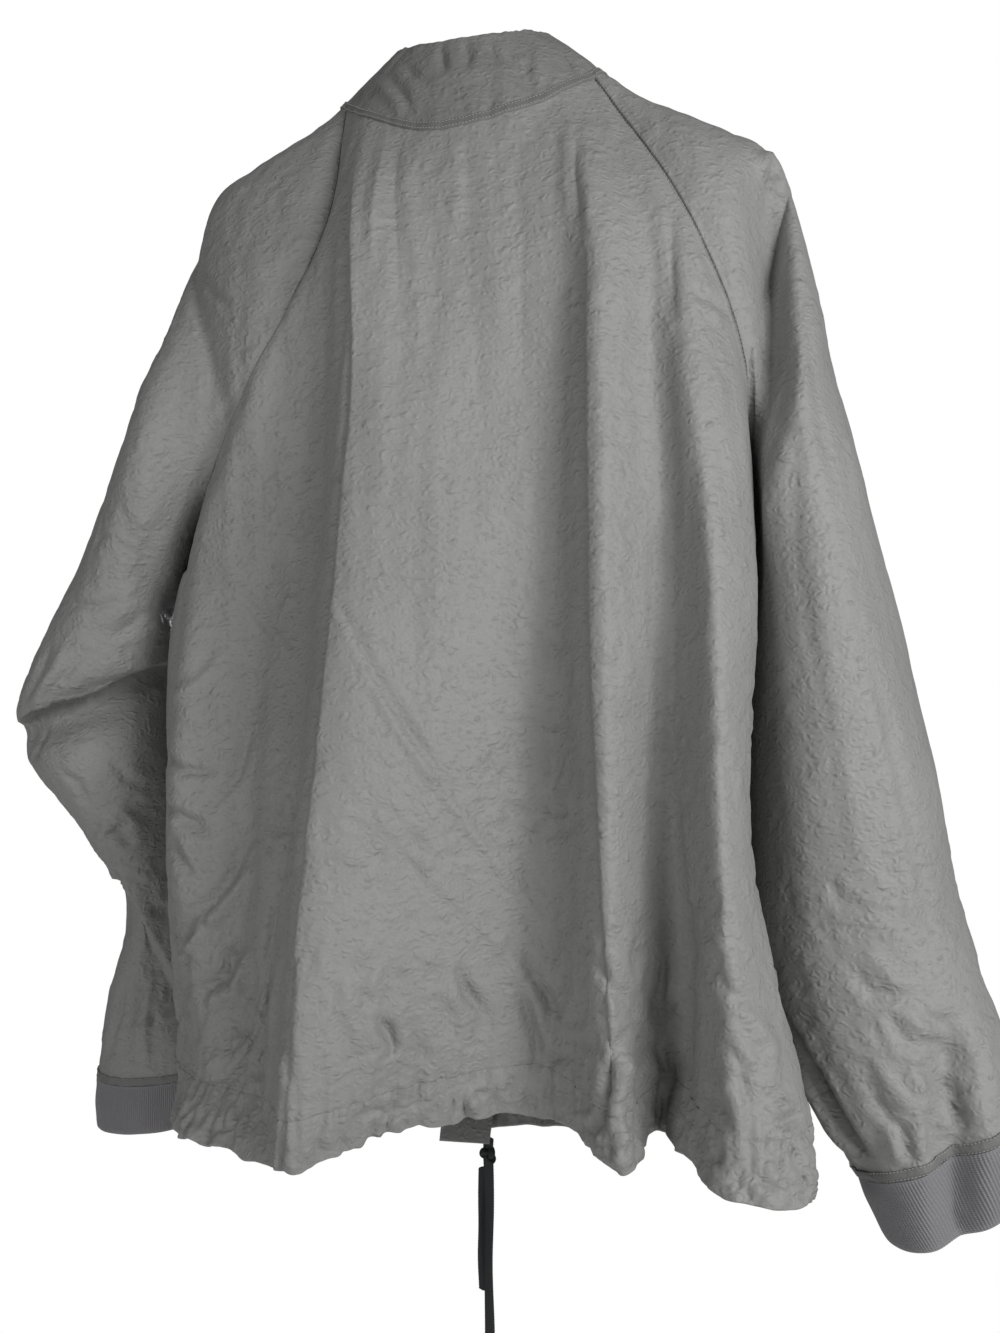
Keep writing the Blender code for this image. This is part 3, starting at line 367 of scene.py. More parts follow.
def marks(count, dense=""):
    """Steps from 0 up to 1, closer together at a dense start or end."""
    step = np.ones(count)
    cells = min(7, count // 2)
    ramp = 0.2 + 0.8 * (np.arange(cells) + 0.5) / max(cells, 1)
    if "start" in dense:
        step[:cells] *= ramp
    if "end" in dense:
        step[count - cells:] *= ramp[::-1]
    return np.concatenate([[0], np.cumsum(step)[:-1]]) / step.sum()


def spline(points, steps, before=None, after=None):
    """Smooth curve through the points; steps[i] are the places from point i to point i + 1."""
    points = [np.asarray(p, float) for p in points]
    first = 2 * points[0] - points[1] if before is None else np.asarray(before, float)
    last = 2 * points[-1] - points[-2] if after is None else np.asarray(after, float)
    run = [first] + points + [last]
    out = []
    for i, places in enumerate(steps):
        places = np.arange(places) / max(places, 1) if np.isscalar(places) else np.asarray(places)
        if not len(places):
            continue
        p0, p1, p2, p3 = run[i:i + 4]
        d0, d1, d2 = (np.sqrt(np.linalg.norm(b - a, axis=-1, keepdims=True)) + 1e-6
                      for a, b in ((p0, p1), (p1, p2), (p2, p3)))
        m1 = d1 * ((p1 - p0) / d0 - (p2 - p0) / (d0 + d1) + (p2 - p1) / d1)
        m2 = d1 * ((p2 - p1) / d1 - (p3 - p1) / (d1 + d2) + (p3 - p2) / d2)
        s = places.reshape(-1, *[1] * p1.ndim)
        a = 2 * s**3 - 3 * s**2 + 1
        b = s**3 - 2 * s**2 + s
        c = -2 * s**3 + 3 * s**2
        d = s**3 - s**2
        out.append(a * p1 + b * m1 + c * p2 + d * m2)
    out.append(points[-1][None])
    return np.concatenate(out)


def lengths(curve, axis=0):
    """Running length along one axis of a grid or line of points."""
    step = np.linalg.norm(np.diff(curve, axis=axis), axis=-1)
    pad = [(0, 0)] * step.ndim
    pad[axis] = (1, 0)
    return np.pad(np.cumsum(step, axis=axis), pad)


def at_lengths(curve, where, *others):
    """Points of a line at given running lengths, with the same places on other lines."""
    run = lengths(curve)
    out = [np.stack([np.interp(where, run, line[:, k]) for k in range(3)], axis=1)
           for line in (curve, *others)]
    return out if others else out[0]


def neck_point(angle):
    """A place on the neck seam, which dips at the back and more at the front."""
    a = math.radians(angle)
    x = NECK_HALF_WIDTH * math.cos(a)
    y = NECK_HALF_DEPTH * math.sin(a)
    drop = NECK_BACK_DROP if y > 0 else NECK_FRONT_DROP
    return np.array([x, y, NECK_SIDE_Z - NECK_TILT * math.cos(a) - drop * math.sin(a)**2])


# ---------------------------------------------------------------- the shared surface
def body_lines():
    """Every fold line from the neck to the hem, each level's row, and each row's level."""
    names = ["neck"] + list(reversed(LEVELS))
    steps = []
    level = []
    starts = {"neck": 0}
    for i, name in enumerate(names[1:]):
        dense = {"top": "start", "band": "end"}.get(name, "")
        fine = HEM_ROWS if name == "hem" else FINE_ROWS[name]
        steps.append(marks(ROWS[name] * fine, dense))
        level.extend(sum(ROWS[n] for n in names[1:i + 1]) + ROWS[name] * steps[-1])
        starts[name] = len(level)
    level.append(sum(ROWS.values()))
    lines = []
    for row in BODY_LINES:
        hem = row[2] * MM
        places = dict(zip(LEVELS, np.array(row[3:9]) * MM))
        heights = dict(HEIGHTS, band=hem + CHANNEL, hem=hem)
        stations = [neck_point(row[1])]
        for name in names[1:]:
            stations.append(np.array([*places[name], heights[name]]))
        lines.append(spline(stations, steps))
    arm = starts["arm"]
    for a, b in ((0, 23), (11, 12)):
        shared = (lines[a][arm:] + lines[b][arm:]) / 2
        lines[a][arm:] = shared
        lines[b][arm:] = shared
    return lines, starts, np.array(level)


def panel_grid(lines, arm, span, fine, dense=True):
    """Rows of points across one panel, neck first, from one bounding line to the other."""
    first, last = span
    total = len(BODY_LINES)
    steps = []
    for i in range(first, last):
        ends = ("start" if i == first else "") + ("end" if i == last - 1 else "")
        steps.append(marks(BODY_LINES[i][9] * fine, ends if dense else ""))
    run = [lines[i] for i in range(first, last + 1)]
    low = (np.arange(len(lines[0])) >= arm)[:, None]
    before = 2 * run[0] - run[1]
    after = 2 * run[-1] - run[-2]
    if first in (0, 12):
        before = np.where(low, lines[(first - 2) % total], before)
    if last in (11, 23):
        after = np.where(low, lines[(last + 2) % total], after)
    return spline(run, steps, before, after).transpose(1, 0, 2)


def ring(inner, outer, half_depth, opening, toward_back, turn):
    """Part of an ellipse from the back, over the outer edge, to the front, or a closed one."""
    axis = unit(outer - inner)
    a = np.linalg.norm(outer - inner) / (1 + math.cos(opening))
    centre = outer - a * axis
    turn = (opening + (2 * math.pi - 2 * opening) * turn)[:, None]
    return centre - a * np.cos(turn) * axis + half_depth * np.sin(turn) * toward_back


def dented(rows, side, turn):
    """Rows of a sleeve with its long dents pressed in, on the half that faces the back."""
    rows = np.array(rows)
    back = np.clip(np.sin(turn * 2 * math.pi) * 1.8 - 0.5, 0, 1)
    for where, start, end, width, depth in DENTS:
        if where != side:
            continue
        z = rows[1:, :, 2]
        along = (start[1] - z) / (start[1] - end[1])
        x = start[0] + (end[0] - start[0]) * along
        ends = np.clip(along * 6, 0, 1) * np.clip((1 - along) * 3.5, 0, 1)
        rows[1:, :, 1] -= depth * ends * back * np.exp(-((rows[1:, :, 0] - x) / width) ** 2)
    return rows


def sleeve_grid(side, back_edge, front_edge, arm, level, outlines):
    """Open arches from the neck to the armpit, then closed rings down to the cuff seam."""
    turn = np.append(marks(SLEEVE_COLUMNS * FINE_COLUMNS, "start end"), 1.0)
    neck = neck_point(0 if side == "left" else 180)
    shoulder = spline([neck] + list(SHOULDER[side]), [6] * len(SHOULDER[side]))
    part = level[:arm] / level[arm]
    shoulder = at_lengths(shoulder, part * lengths(shoulder)[-1])
    sections = SLEEVE[side]
    rows = []
    for r in range(arm):
        back = back_edge[r]
        front = front_edge[r]
        span = np.linalg.norm(back - front) / 2
        depth = max(span, sections[0][3] * part[r] ** 0.7)
        opening = math.asin(min(1.0, span / depth))
        rows.append(ring((back + front) / 2, shoulder[r], depth, opening, unit(back - front), turn))
        rows[-1][0] = back
        rows[-1][-1] = front
    numbers = [np.array([*s[1], *s[2], s[3]]) for s in sections]
    numbers[0][:3] = back_edge[arm]
    steps = [marks(s[4] * FINE_ROWS["sleeve"], "end" if s[0] == "cuff_seam" else "")
             for s in sections[1:]]
    for row in spline(numbers, steps):
        inner, outer, depth = row[:3], row[3:6], row[6]
        axis = unit(outer - inner)
        across = np.array([0, 1, 0]) - axis[1] * axis
        rows.append(ring(inner, outer, depth, 0.0, unit(across), turn))
        rows[-1][-1] = rows[-1][0]
    rows = clear_of_body(dented(rows, side, turn), side, outlines, arm)
    free = np.clip(np.sin(turn * math.pi) * 3, 0, 1)[None, :, None]
    near = np.exp(-((np.arange(len(rows)) - arm) / ARMPIT_ROWS) ** 2)[:, None, None] * free
    for _ in range(ARMPIT_PASSES):
        rows[1:-1] += 0.5 * near[1:-1] * ((rows[2:] + rows[:-2]) / 2 - rows[1:-1])
    return rows


def clear_of_body(rows, side, outlines, arm):
    """Rows of a sleeve moved out sideways until they hang free of the body's side."""
    sign = 1 if side == "left" else -1
    heights = np.array([outline[:, 2].mean() for outline in outlines])
    away = np.linalg.norm(rows - rows[arm, 0], axis=-1)
    ends = np.minimum(np.linalg.norm(rows - rows[:, :1], axis=-1),
                      np.linalg.norm(rows - rows[:, -1:], axis=-1))
    away[:arm] = ends[:arm]
    free = np.minimum(SLEEVE_OPENS * away, SLEEVE_CLEAR)
    level = np.interp(-rows[..., 2], -heights, np.arange(len(heights)))
    reach = np.array([np.interp(rows[..., 1], o[:, 1], sign * o[:, 0]) for o in outlines])
    lower = np.clip(np.floor(level).astype(int), 0, len(outlines) - 2)
    upper_reach = np.take_along_axis(reach, lower[None], axis=0)[0]
    lower_reach = np.take_along_axis(reach, lower[None] + 1, axis=0)[0]
    side_x = between(upper_reach, lower_reach, level - lower)
    moved = np.maximum(sign * rows[..., 0], side_x + free)
    hit = (rows[..., 2] < heights[0]) & (away > 1e-6)
    rows[..., 0] = np.where(hit, sign * moved, rows[..., 0])
    return rows


def collar_grid(loop):
    """Rings from the collar's top edge down to the neck seam, on the neck's own columns."""
    angles = np.arctan2(loop[:, 1] / NECK_HALF_DEPTH, loop[:, 0] / NECK_HALF_WIDTH)
    rings = []
    for half_width, half_depth, side, back, front in COLLAR:
        x = half_width * np.cos(angles)
        y = half_depth * np.sin(angles)
        drop = np.where(y > 0, back, front) * np.sin(angles)**2
        rings.append(np.stack([x, y, side - COLLAR_SLOPE * x - drop], axis=1))
    steps = [marks(COLLAR_ROWS[0], "start"), marks(COLLAR_ROWS[1]), marks(COLLAR_ROWS[2], "end")]
    grid = spline([loop] + rings, steps)
    near_seam = np.clip(np.concatenate([steps[0], np.ones(len(grid) - COLLAR_ROWS[0])]), 0, 1)
    open_half = (loop[0, 0] - loop[-1, 0]) / 2
    near_zip = np.clip(1 - np.abs(np.degrees(angles) + 90) / COLLAR_ZIP_REACH, 0, 1)
    for row, amount in zip(grid, near_seam):
        centre = (row[0, 0] + row[-1, 0]) / 2
        full = row[:, 0] - centre * np.maximum(0, -np.sin(angles))**2
        wider = open_half - (full[0] - full[-1]) / 2
        full += np.sign(full) * wider * near_zip
        row[:, 0] = between(row[:, 0], full, amount)
    return grid[::-1].copy()


def cuff_rings(side, turn, rows):
    """Rings from the sleeve's end to the cuff's end, with the sleeve's own dent in them."""
    inner, outer, depth = (np.array(v, float) for v in SLEEVE[side][-1][1:4])
    inner_end, outer_end, depth_end, lean = (np.array(v, float) for v in CUFF_END[side])
    out = []
    for s in rows:
        i = between(inner, inner_end, s)
        o = between(outer, outer_end, s)
        axis = unit(o - i)
        near = np.array([0, 1, lean * s])
        across = unit(near - np.dot(near, axis) * axis)
        out.append(ring(i, o, between(depth, depth_end, s), 0.0, across, turn))
    return dented(out[:1] + out, side, turn)[1:]


# ---------------------------------------------------------------- uneven cloth
GRADIENTS = unit(np.random.default_rng(11).normal(size=(512, 3)))
MIXERS = np.array((73856093, 19349663, 83492791))


def noise(points, seed):
    """Smooth noise, about -1 to 1, with bumps one unit across."""
    points = np.asarray(points, float) + seed * 17.3
    cell = np.floor(points).astype(np.int64)
    frac = points - cell
    fade = frac**3 * (frac * (frac * 6 - 15) + 10)
    total = 0.0
    for corner in np.ndindex(2, 2, 2):
        c = cell + corner
        mixed = np.bitwise_xor.reduce(c * MIXERS, axis=-1) ^ (seed * 2654435)
        way = GRADIENTS[(mixed ^ (mixed >> 13)) & 511]
        weight = np.prod(np.where(np.array(corner) == 1, fade, 1 - fade), axis=-1)
        total = total + weight * np.sum(way * (frac - corner), axis=-1)
    return total * 1.6


def folded(value, sharp):
    """Noise turned into soft creases: rounded crests along its zero lines."""
    return sharp * 2.2 - np.sqrt(value**2 + sharp**2)


# Creases pressed into each part: half width, height (a trough is negative), then x, z
# along it, all in millimetres. A crease narrower than BROAD gets a sharp crest.
BROAD = 3.9
CREASES = {
    "back": (
        (2.6, 1.0, (170, -370), (140, -405), (105, -435)),
        (2.4, 1.1, (75, -385), (55, -420), (25, -475), (-20, -545), (-50, -590), (-75, -630)),
        (2.6, 0.9, (50, -515), (25, -545), (0, -575), (-30, -615), (-60, -660)),
        (3.0, -1.0, (65, -390), (50, -425), (20, -475), (-10, -525)),
        (16, -9.0, (135, -350), (145, -415), (148, -485), (148, -555), (148, -625), (140, -690)),
        (15, 7.5, (195, -370), (202, -445), (202, -530), (196, -600), (190, -690)),
        (10, 3.0, (-146, -440), (-146, -520), (-146, -600), (-143, -680), (-140, -730)),
        (3.2, -2.6, (110, -590), (120, -650), (125, -700), (115, -730)),
        (3.4, -2.2, (85, -620), (90, -660), (85, -700)), (3.4, 1.6, (100, -610), (110, -660), (110, -710)),
        (7, 3.2, (184, -704), (164, -710), (150, -700)), (3.6, -2.8, (180, -665), (160, -650), (150, -625)),
        (3.6, 2.4, (170, -670), (150, -660), (140, -630)),
        (3.6, -2.6, (200, -630), (160, -585), (150, -555)),
        (3.6, 2.4, (190, -640), (155, -595), (140, -570)),
        (3.2, -2.2, (175, -535), (160, -515), (150, -480)),
        (3.0, -2.6, (210, -625), (190, -640), (195, -675)), (3.0, -2.4, (202, -558), (184, -584)),
        (3.0, -2.2, (225, -490), (195, -510), (170, -510)),
        (3.0, -2.2, (230, -535), (195, -540), (175, -555)),
        (3.2, 1.4, (215, -460), (190, -450), (170, -425)),
        (3.0, -2.6, (-10, -632), (-16, -650), (-28, -670)),
        (3.4, 1.8, (-5, -625), (-10, -650), (-25, -670)),
        (3.2, 1.7, (10, -650), (0, -645), (-10, -660), (-20, -685)),
        (2.8, -1.8, (48, -638), (44, -644), (36, -652)), (3.6, -2.4, (36, -656), (28, -672), (24, -688)),
        (4.0, 1.8, (40, -652), (34, -676), (28, -692)),
        (3.4, -2.4, (-50, -650), (-55, -670), (-60, -685), (-60, -705)),
        (3.4, 1.8, (-52, -648), (-60, -670), (-64, -690)),
        (3.2, -2.2, (-50, -625), (-60, -650), (-75, -670)),
        (3.0, -1.9, (-64, -700), (-74, -696), (-84, -690)), (3.0, -1.6, (20, -658), (14, -676), (4, -698)),
        (3.0, -1.4, (60, -650), (50, -675), (45, -700)),
        (3.2, 2.2, (-108, -670), (-116, -684), (-128, -692)),
        (3.0, -3.4, (-115, -680), (-110, -700), (-105, -730)),
        (3.0, 1.6, (-120, -670), (-124, -688), (-120, -706)),
        (3.0, -1.6, (-104, -620), (-114, -638), (-128, -648)),
        (3.0, -1.8, (-136, -680), (-144, -696), (-152, -710)),
        (3.6, -3.2, (-160, -585), (-160, -630), (-160, -675), (-160, -715)),
        (3.0, -1.6, (-144, -628), (-140, -652), (-136, -672)),
        (3.0, -1.5, (-176, -616), (-184, -632), (-200, -640)),
        (3.2, 1.6, (-190, -640), (-200, -650), (-210, -665), (-210, -690)),
        (3.2, -1.8, (-182, -660), (-192, -676), (-196, -694)),
        (3.2, -2.2, (-212, -710), (-220, -708), (-228, -708)), (3.2, 1.8, (-208, -700), (-220, -700)),
        (3.2, -2.0, (-218, -724), (-224, -720)), (3.0, -1.7, (-172, -696), (-182, -704), (-184, -716)),
        (3.0, 1.5, (-176, -682), (-188, -692), (-192, -710)),
        (5.0, -3.2, (-140, -105), (-150, -130), (-150, -170), (-150, -210)),
        (4.0, 1.8, (-160, -150), (-170, -175), (-180, -210)),
        (3.2, -1.6, (-162, -188), (-174, -192), (-188, -200)),
        (3.0, -1.2, (75, -95), (70, -145), (70, -200), (75, -255)),
        (4.0, 0.9, (30, -70), (25, -120), (20, -175), (15, -230)),
        (4.0, -0.9, (15, -70), (10, -130), (5, -205)),
        (4.0, -1.0, (-10, -70), (-15, -150), (-20, -215), (-25, -300)),
        (4.0, 0.9, (-25, -80), (-30, -150), (-35, -210)), (4.0, 0.9, (0, -65), (-5, -110), (-5, -155)),
        (4.0, -1.0, (-45, -80), (-50, -160), (-50, -245)),
        (3.0, -1.2, (-85, -65), (-85, -100), (-90, -145)), (3.4, 1.1, (50, -65), (50, -110), (50, -165)),
        (3.0, -0.9, (40, -75), (35, -130), (30, -190)),
    ),
    "left": (
        (3.0, -2.0, (352, -484), (352, -498), (354, -508)),
        (3.2, -1.6, (350, -465), (330, -440), (320, -415)),
        (3.2, 1.4, (340, -465), (315, -440), (305, -415)),
        (3.2, -1.4, (330, -460), (305, -440), (285, -420)),
        (3.0, -1.4, (305, -385), (280, -390), (260, -385)),
        (3.4, -1.5, (272, -414), (256, -400), (246, -388)),
        (3.0, -1.2, (210, -125), (185, -160), (165, -175)),
        (3.4, 2.2, (310, -575), (295, -555), (280, -550), (275, -565)),
        (3.0, -2.4, (302, -568), (290, -568), (280, -576)),
        (3.0, 1.6, (316, -584), (304, -592), (288, -596)),
        (3.0, -1.5, (286, -506), (276, -524), (264, -528)),
        (3.0, -1.4, (328, -514), (312, -524), (308, -544)),
        (3.0, -1.4, (315, -695), (320, -730), (330, -765)),
        (3.0, 1.4, (290, -710), (295, -735), (295, -765)),
    ),
    "right": (
        (3.4, 1.8, (-208, -92), (-216, -76), (-224, -92)),
        (3.6, -2.4, (-212, -100), (-220, -96), (-226, -104)),
        (5.0, -1.6, (-230, -140), (-240, -220), (-250, -290), (-260, -355)),
        (5.0, 1.4, (-265, -275), (-275, -340)),
        (6.0, -1.6, (-225, -275), (-230, -355), (-245, -445), (-255, -520)),
        (6.0, 1.5, (-230, -340), (-245, -420), (-255, -495), (-270, -570)),
        (5.0, -1.4, (-275, -420), (-290, -495), (-305, -570), (-315, -630)),
        (5.0, 1.3, (-265, -410), (-280, -485), (-295, -560), (-305, -620)),
        (3.2, -1.7, (-260, -624), (-272, -640), (-290, -644)),
        (3.2, 1.6, (-270, -616), (-286, -632), (-300, -636)),
        (3.2, -1.8, (-280, -650), (-292, -668), (-310, -676)),
        (3.2, 1.6, (-290, -648), (-304, -662), (-320, -668)),
        (3.2, -1.8, (-300, -680), (-312, -696), (-328, -702)),
        (3.2, 1.6, (-272, -680), (-284, -696), (-296, -710)),
        (3.2, -1.9, (-268, -694), (-278, -710), (-288, -724)),
        (3.0, -2.2, (-288, -716), (-292, -730), (-296, -742)),
        (3.0, 2.0, (-282, -720), (-286, -734), (-288, -744)),
        (3.0, -2.0, (-306, -708), (-308, -724), (-310, -736)),
        (3.0, -2.0, (-320, -700), (-324, -712), (-328, -724)),
        (3.0, 1.8, (-316, -704), (-316, -720), (-320, -728)),
        (3.0, -1.4, (-248, -572), (-256, -586), (-272, -588)),
        (3.0, 3.6, (-225, -690), (-240, -710), (-255, -735), (-270, -750)),
        (2.2, -4.4, (-215, -660), (-230, -680), (-245, -705), (-260, -730), (-270, -745)),
    ),
    "collar": (
        (4.5, -2.6, (-32, 4), (-40, -16), (-52, -36), (-46, 4)),
        (8, 1.6, (20, -24), (0, -20), (-24, -20), (-40, -30)), (4, 1.6, (-44, 0), (-56, -20), (-52, 8)),
        (3.2, -1.4, (44, 0), (32, -14), (20, -22)), (3.0, 1.2, (66, -8), (48, -28), (38, -44)),
        (3.0, -1.3, (52, -8), (40, -26), (32, -46)), (2.4, -1.4, (14, 4), (10, -8), (8, -16)),
        (2.4, -1.4, (-2, 6), (-8, -4), (-8, -14)), (2.4, -1.3, (-20, 8), (-24, 0), (-28, -8)),
        (2.4, -1.2, (-68, 12), (-76, 0), (-80, -14)), (2.6, -1.3, (-2, -44), (-10, -50)),
        (2.6, -1.3, (-24, -40), (-28, -48)),
    ),
}

# Folds that lie over the cloth beside them: where, how far the upper side rises and how wide, how
# deep the lower side lies and how wide, then x, z along the fold; the lower side is to the left.
STEPS = (
    ("left", 4.0, 3.0, 19.0, 30, ((374, -480), (345, -468), (300, -455), (276, -443), (245, -428))),
    ("left", 2.5, 5.0, 15.0, 55, ((302, -603), (290, -632), (278, -672), (262, -722))),
    ("left", 1.4, 3.0, 3.0, 10, ((362, -508), (339, -540), (318, -575))),
    ("back", 2.5, 9.0, 5.0, 14,
     ((196, -708), (188, -719), (172, -724), (154, -720), (140, -706), (128, -680))),
    ("back", 1.0, 3.0, 4.0, 8, ((94, -450), (96, -512), (106, -572), (118, -624), (134, -690))),
    ("back", 1.2, 3.0, 4.0, 9, ((-118, -676), (-112, -701), (-104, -734))),
    ("back", 0.9, 6.0, 3.6, 7,
     ((68, -110), (62, -190), (62, -260), (68, -340), (74, -460), (82, -580), (95, -700))),
    ("back", 1.0, 6.0, 3.0, 8,
     ((-94, -160), (-95, -265), (-97, -395), (-102, -520), (-110, -640), (-115, -700))),
    ("back", 1.2, 4.0, 4.0, 10, ((-156, -520), (-160, -585), (-159, -640), (-160, -722))),
)

# The sides that the photo doesn't show get creases of the same kind: the body's are mirrored and
# moved down, and the sleeves' are moved down.
HIDDEN = {"front": [(w, h * 0.8, *((20 - x, z - 14) for x, z in path))
                    for i, (w, h, *path) in enumerate(CREASES["back"]) if w < 5 and i % 3]}
for part in ("left", "right"):
    HIDDEN[part + "_front"] = [(w, h * 0.6, *((x, z - 22) for x, z in path))
                               for w, h, *path in CREASES[part] if abs(h) < 3]


def tent(distance):
    """A narrow ridge across a crease, rounded at its top."""
    return np.exp(0.3 - np.sqrt(distance**2 + 0.3**2))


def crease_heights(points, face):
    """How far the listed creases and steps move each point out or in."""
    out = np.zeros(len(points))
    place = points[:, [0, 2]] * 1000
    rows = [(where, *row) for where, part in {**CREASES, **HIDDEN}.items() for row in part]
    for where, width, height, *path in rows:
        near, side, along = beside(place, face[where] > 0, np.array(path, float), 4 * width)
        if not near.any():
            continue
        gap = np.abs(side) / width
        shape = np.exp(-gap ** 2)
        if width < BROAD:
            shape = 2.1 * (tent(gap) - 0.4 * tent(gap / 1.3 - 1.8))
        taper = np.sin(along * math.pi) ** 0.6
        out[near] += height * MM * taper * shape * face[where][near]
    for where, rise, wide, depth, reach, path in STEPS:
        near, side, along = beside(place, face[where] > 0, np.array(path, float), 3 * reach)
        if not near.any():
            continue
        over = rise * np.exp(-np.abs(side) / wide)
        under = -depth * np.exp(-(side / reach) ** 2 * 1.5)
        turn = np.clip(side / 2.0 + 0.5, 0, 1)
        taper = np.sin(along * math.pi) ** 0.35 * np.clip(face[where][near] * 2.7 - 1.7, 0, 1)
        out[near] += MM * taper * between(over, under, turn)
    return out


def beside(place, allowed, path, reach):
    """Points near a line, how far they lie to its left, and how far along it, from 0 to 1."""
    near = (place > path.min(axis=0) - reach) & (place < path.max(axis=0) + reach)
    near = np.all(near, axis=1) & allowed
    q = place[near]
    run = lengths(path)
    side = np.full(len(q), 1e9)
    along = np.zeros(len(q))
    for i, (a, b) in enumerate(zip(path[:-1], path[1:])):
        d = b - a
        t = np.clip(np.sum((q - a) * d, axis=1) / np.sum(d**2), 0, 1)
        gap = np.linalg.norm(q - between(a, b, t[:, None]), axis=1)
        left = np.where(d[0] * (q[:, 1] - a[1]) - d[1] * (q[:, 0] - a[0]) > 0, 1, -1)
        closer = gap < np.abs(side)
        side = np.where(closer, gap * left, side)
        along = np.where(closer, (run[i] + t * np.linalg.norm(d)) / run[-1], along)
    return near, side, np.clip(along, 0, 1)


class Garment:
    """Grids of points of all the panels, with shared seams and shared ways out."""

    def __init__(self):
        self.grids = {}
        self.group = {}

    def add(self, name, grid, group=None):
        self.grids[name] = np.array(grid)
        self.group[name] = group or name

    def merge(self):
        """Points of different panels that lie on each other become one."""
        flat = np.concatenate([g.reshape(-1, 3) for g in self.grids.values()])
        keys = np.round(flat * SAME_PLACE).astype(np.int64)
        _, first, inverse = np.unique(keys, axis=0, return_index=True, return_inverse=True)
        self.shared = np.ravel(inverse)
        self.points = flat[first]
        self.parts = {}
        start = 0
        for name, grid in self.grids.items():
            count = grid.shape[0] * grid.shape[1]
            self.parts[name] = slice(start, start + count)
            start += count

    def ways(self):
        """Ways out of every grid; at a seam the body, each sleeve and the collar count the same."""
        total = np.zeros_like(self.points)
        for group in dict.fromkeys(self.group.values()):
            area = np.zeros_like(self.points)
            for name, grid in self.grids.items():
                if self.group[name] != group:
                    continue
                quads = self.shared[self.parts[name]][grid_quads(*grid.shape[:2])]
                p = self.points[quads]
                face = np.cross(p[:, 2] - p[:, 0], p[:, 3] - p[:, 1])
                for k in range(4):
                    for axis in range(3):
                        area[:, axis] += np.bincount(quads[:, k], face[:, axis], len(area))
            total += unit(area) * (np.linalg.norm(area, axis=1, keepdims=True) > TINY)
        ways = unit(total)
        return {n: ways[self.shared[self.parts[n]]].reshape(g.shape) for n, g in self.grids.items()}

    def move(self, ways, heights):
        """Every grid moved along its ways out, the same amount on both sides of a seam."""
        flat = np.concatenate([heights[n].ravel() for n in self.grids])
        mean = np.bincount(self.shared, flat) / np.bincount(self.shared)
        way = np.zeros_like(self.points)
        for name in self.grids:
            way[self.shared[self.parts[name]]] = ways[name].reshape(-1, 3)
        self.points = self.points + way * mean[:, None]
        for name, grid in self.grids.items():
            self.grids[name] = self.points[self.shared[self.parts[name]]].reshape(grid.shape)


# ---------------------------------------------------------------- meshes
def grid_quads(rows, columns, closed=False):
    """Faces of a grid of points; a closed one joins its last column to its first."""
    r, c = np.meshgrid(np.arange(rows - 1), np.arange(columns if closed else columns - 1), indexing="ij")
    a = r * columns + c
    b = r * columns + (c + 1) % columns
    return np.stack([a, b, b + columns, a + columns], -1).reshape(-1, 4)


def bar_quads(rings, count):
    """Faces of a row of small bars, each drawn as rings of four corners and closed at both ends."""
    top = 4 * rings - 4
    local = [(r + k, r + (k + 1) % 4, r + 4 + (k + 1) % 4, r + 4 + k)
             for r in range(0, top, 4) for k in range(4)]
    local += [(3, 2, 1, 0), (top, top + 1, top + 2, top + 3)]
    return (np.array(local)[None] + (np.arange(count) * 4 * rings)[:, None, None]).reshape(-1, 4)


def put(name, data):
    """A new object in the scene."""
    made = bpy.data.objects.new(name, data)
    bpy.context.scene.collection.objects.link(made)
    return made


def mesh_object(name, points, quads, look, uv=None, body="jacket"):
    """A smooth mesh on one of the two bodies, with a material."""
    mesh = bpy.data.meshes.new(name)
    mesh.from_pydata(np.asarray(points).tolist(), [], np.asarray(quads).tolist())
    mesh.polygons.foreach_set("use_smooth", [True] * len(mesh.polygons))
    if uv is not None:
        layer = mesh.uv_layers.new(name="cloth")
        index = np.empty(len(mesh.loops), np.int32)
        mesh.loops.foreach_get("vertex_index", index)
        layer.data.foreach_set("uv", np.asarray(uv, np.float32)[index].ravel())
    mesh.validate()
    mesh.materials.append(LOOKS[look])
    piece = put(name, mesh)
    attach(piece, body)
    return piece


def flat_places(along, across):
    """The cloth's own flat coordinates of a grid, from the lengths of its rows and columns."""
    return np.stack(np.meshgrid(along, across, indexing="ij")[::-1], -1).reshape(-1, 2)


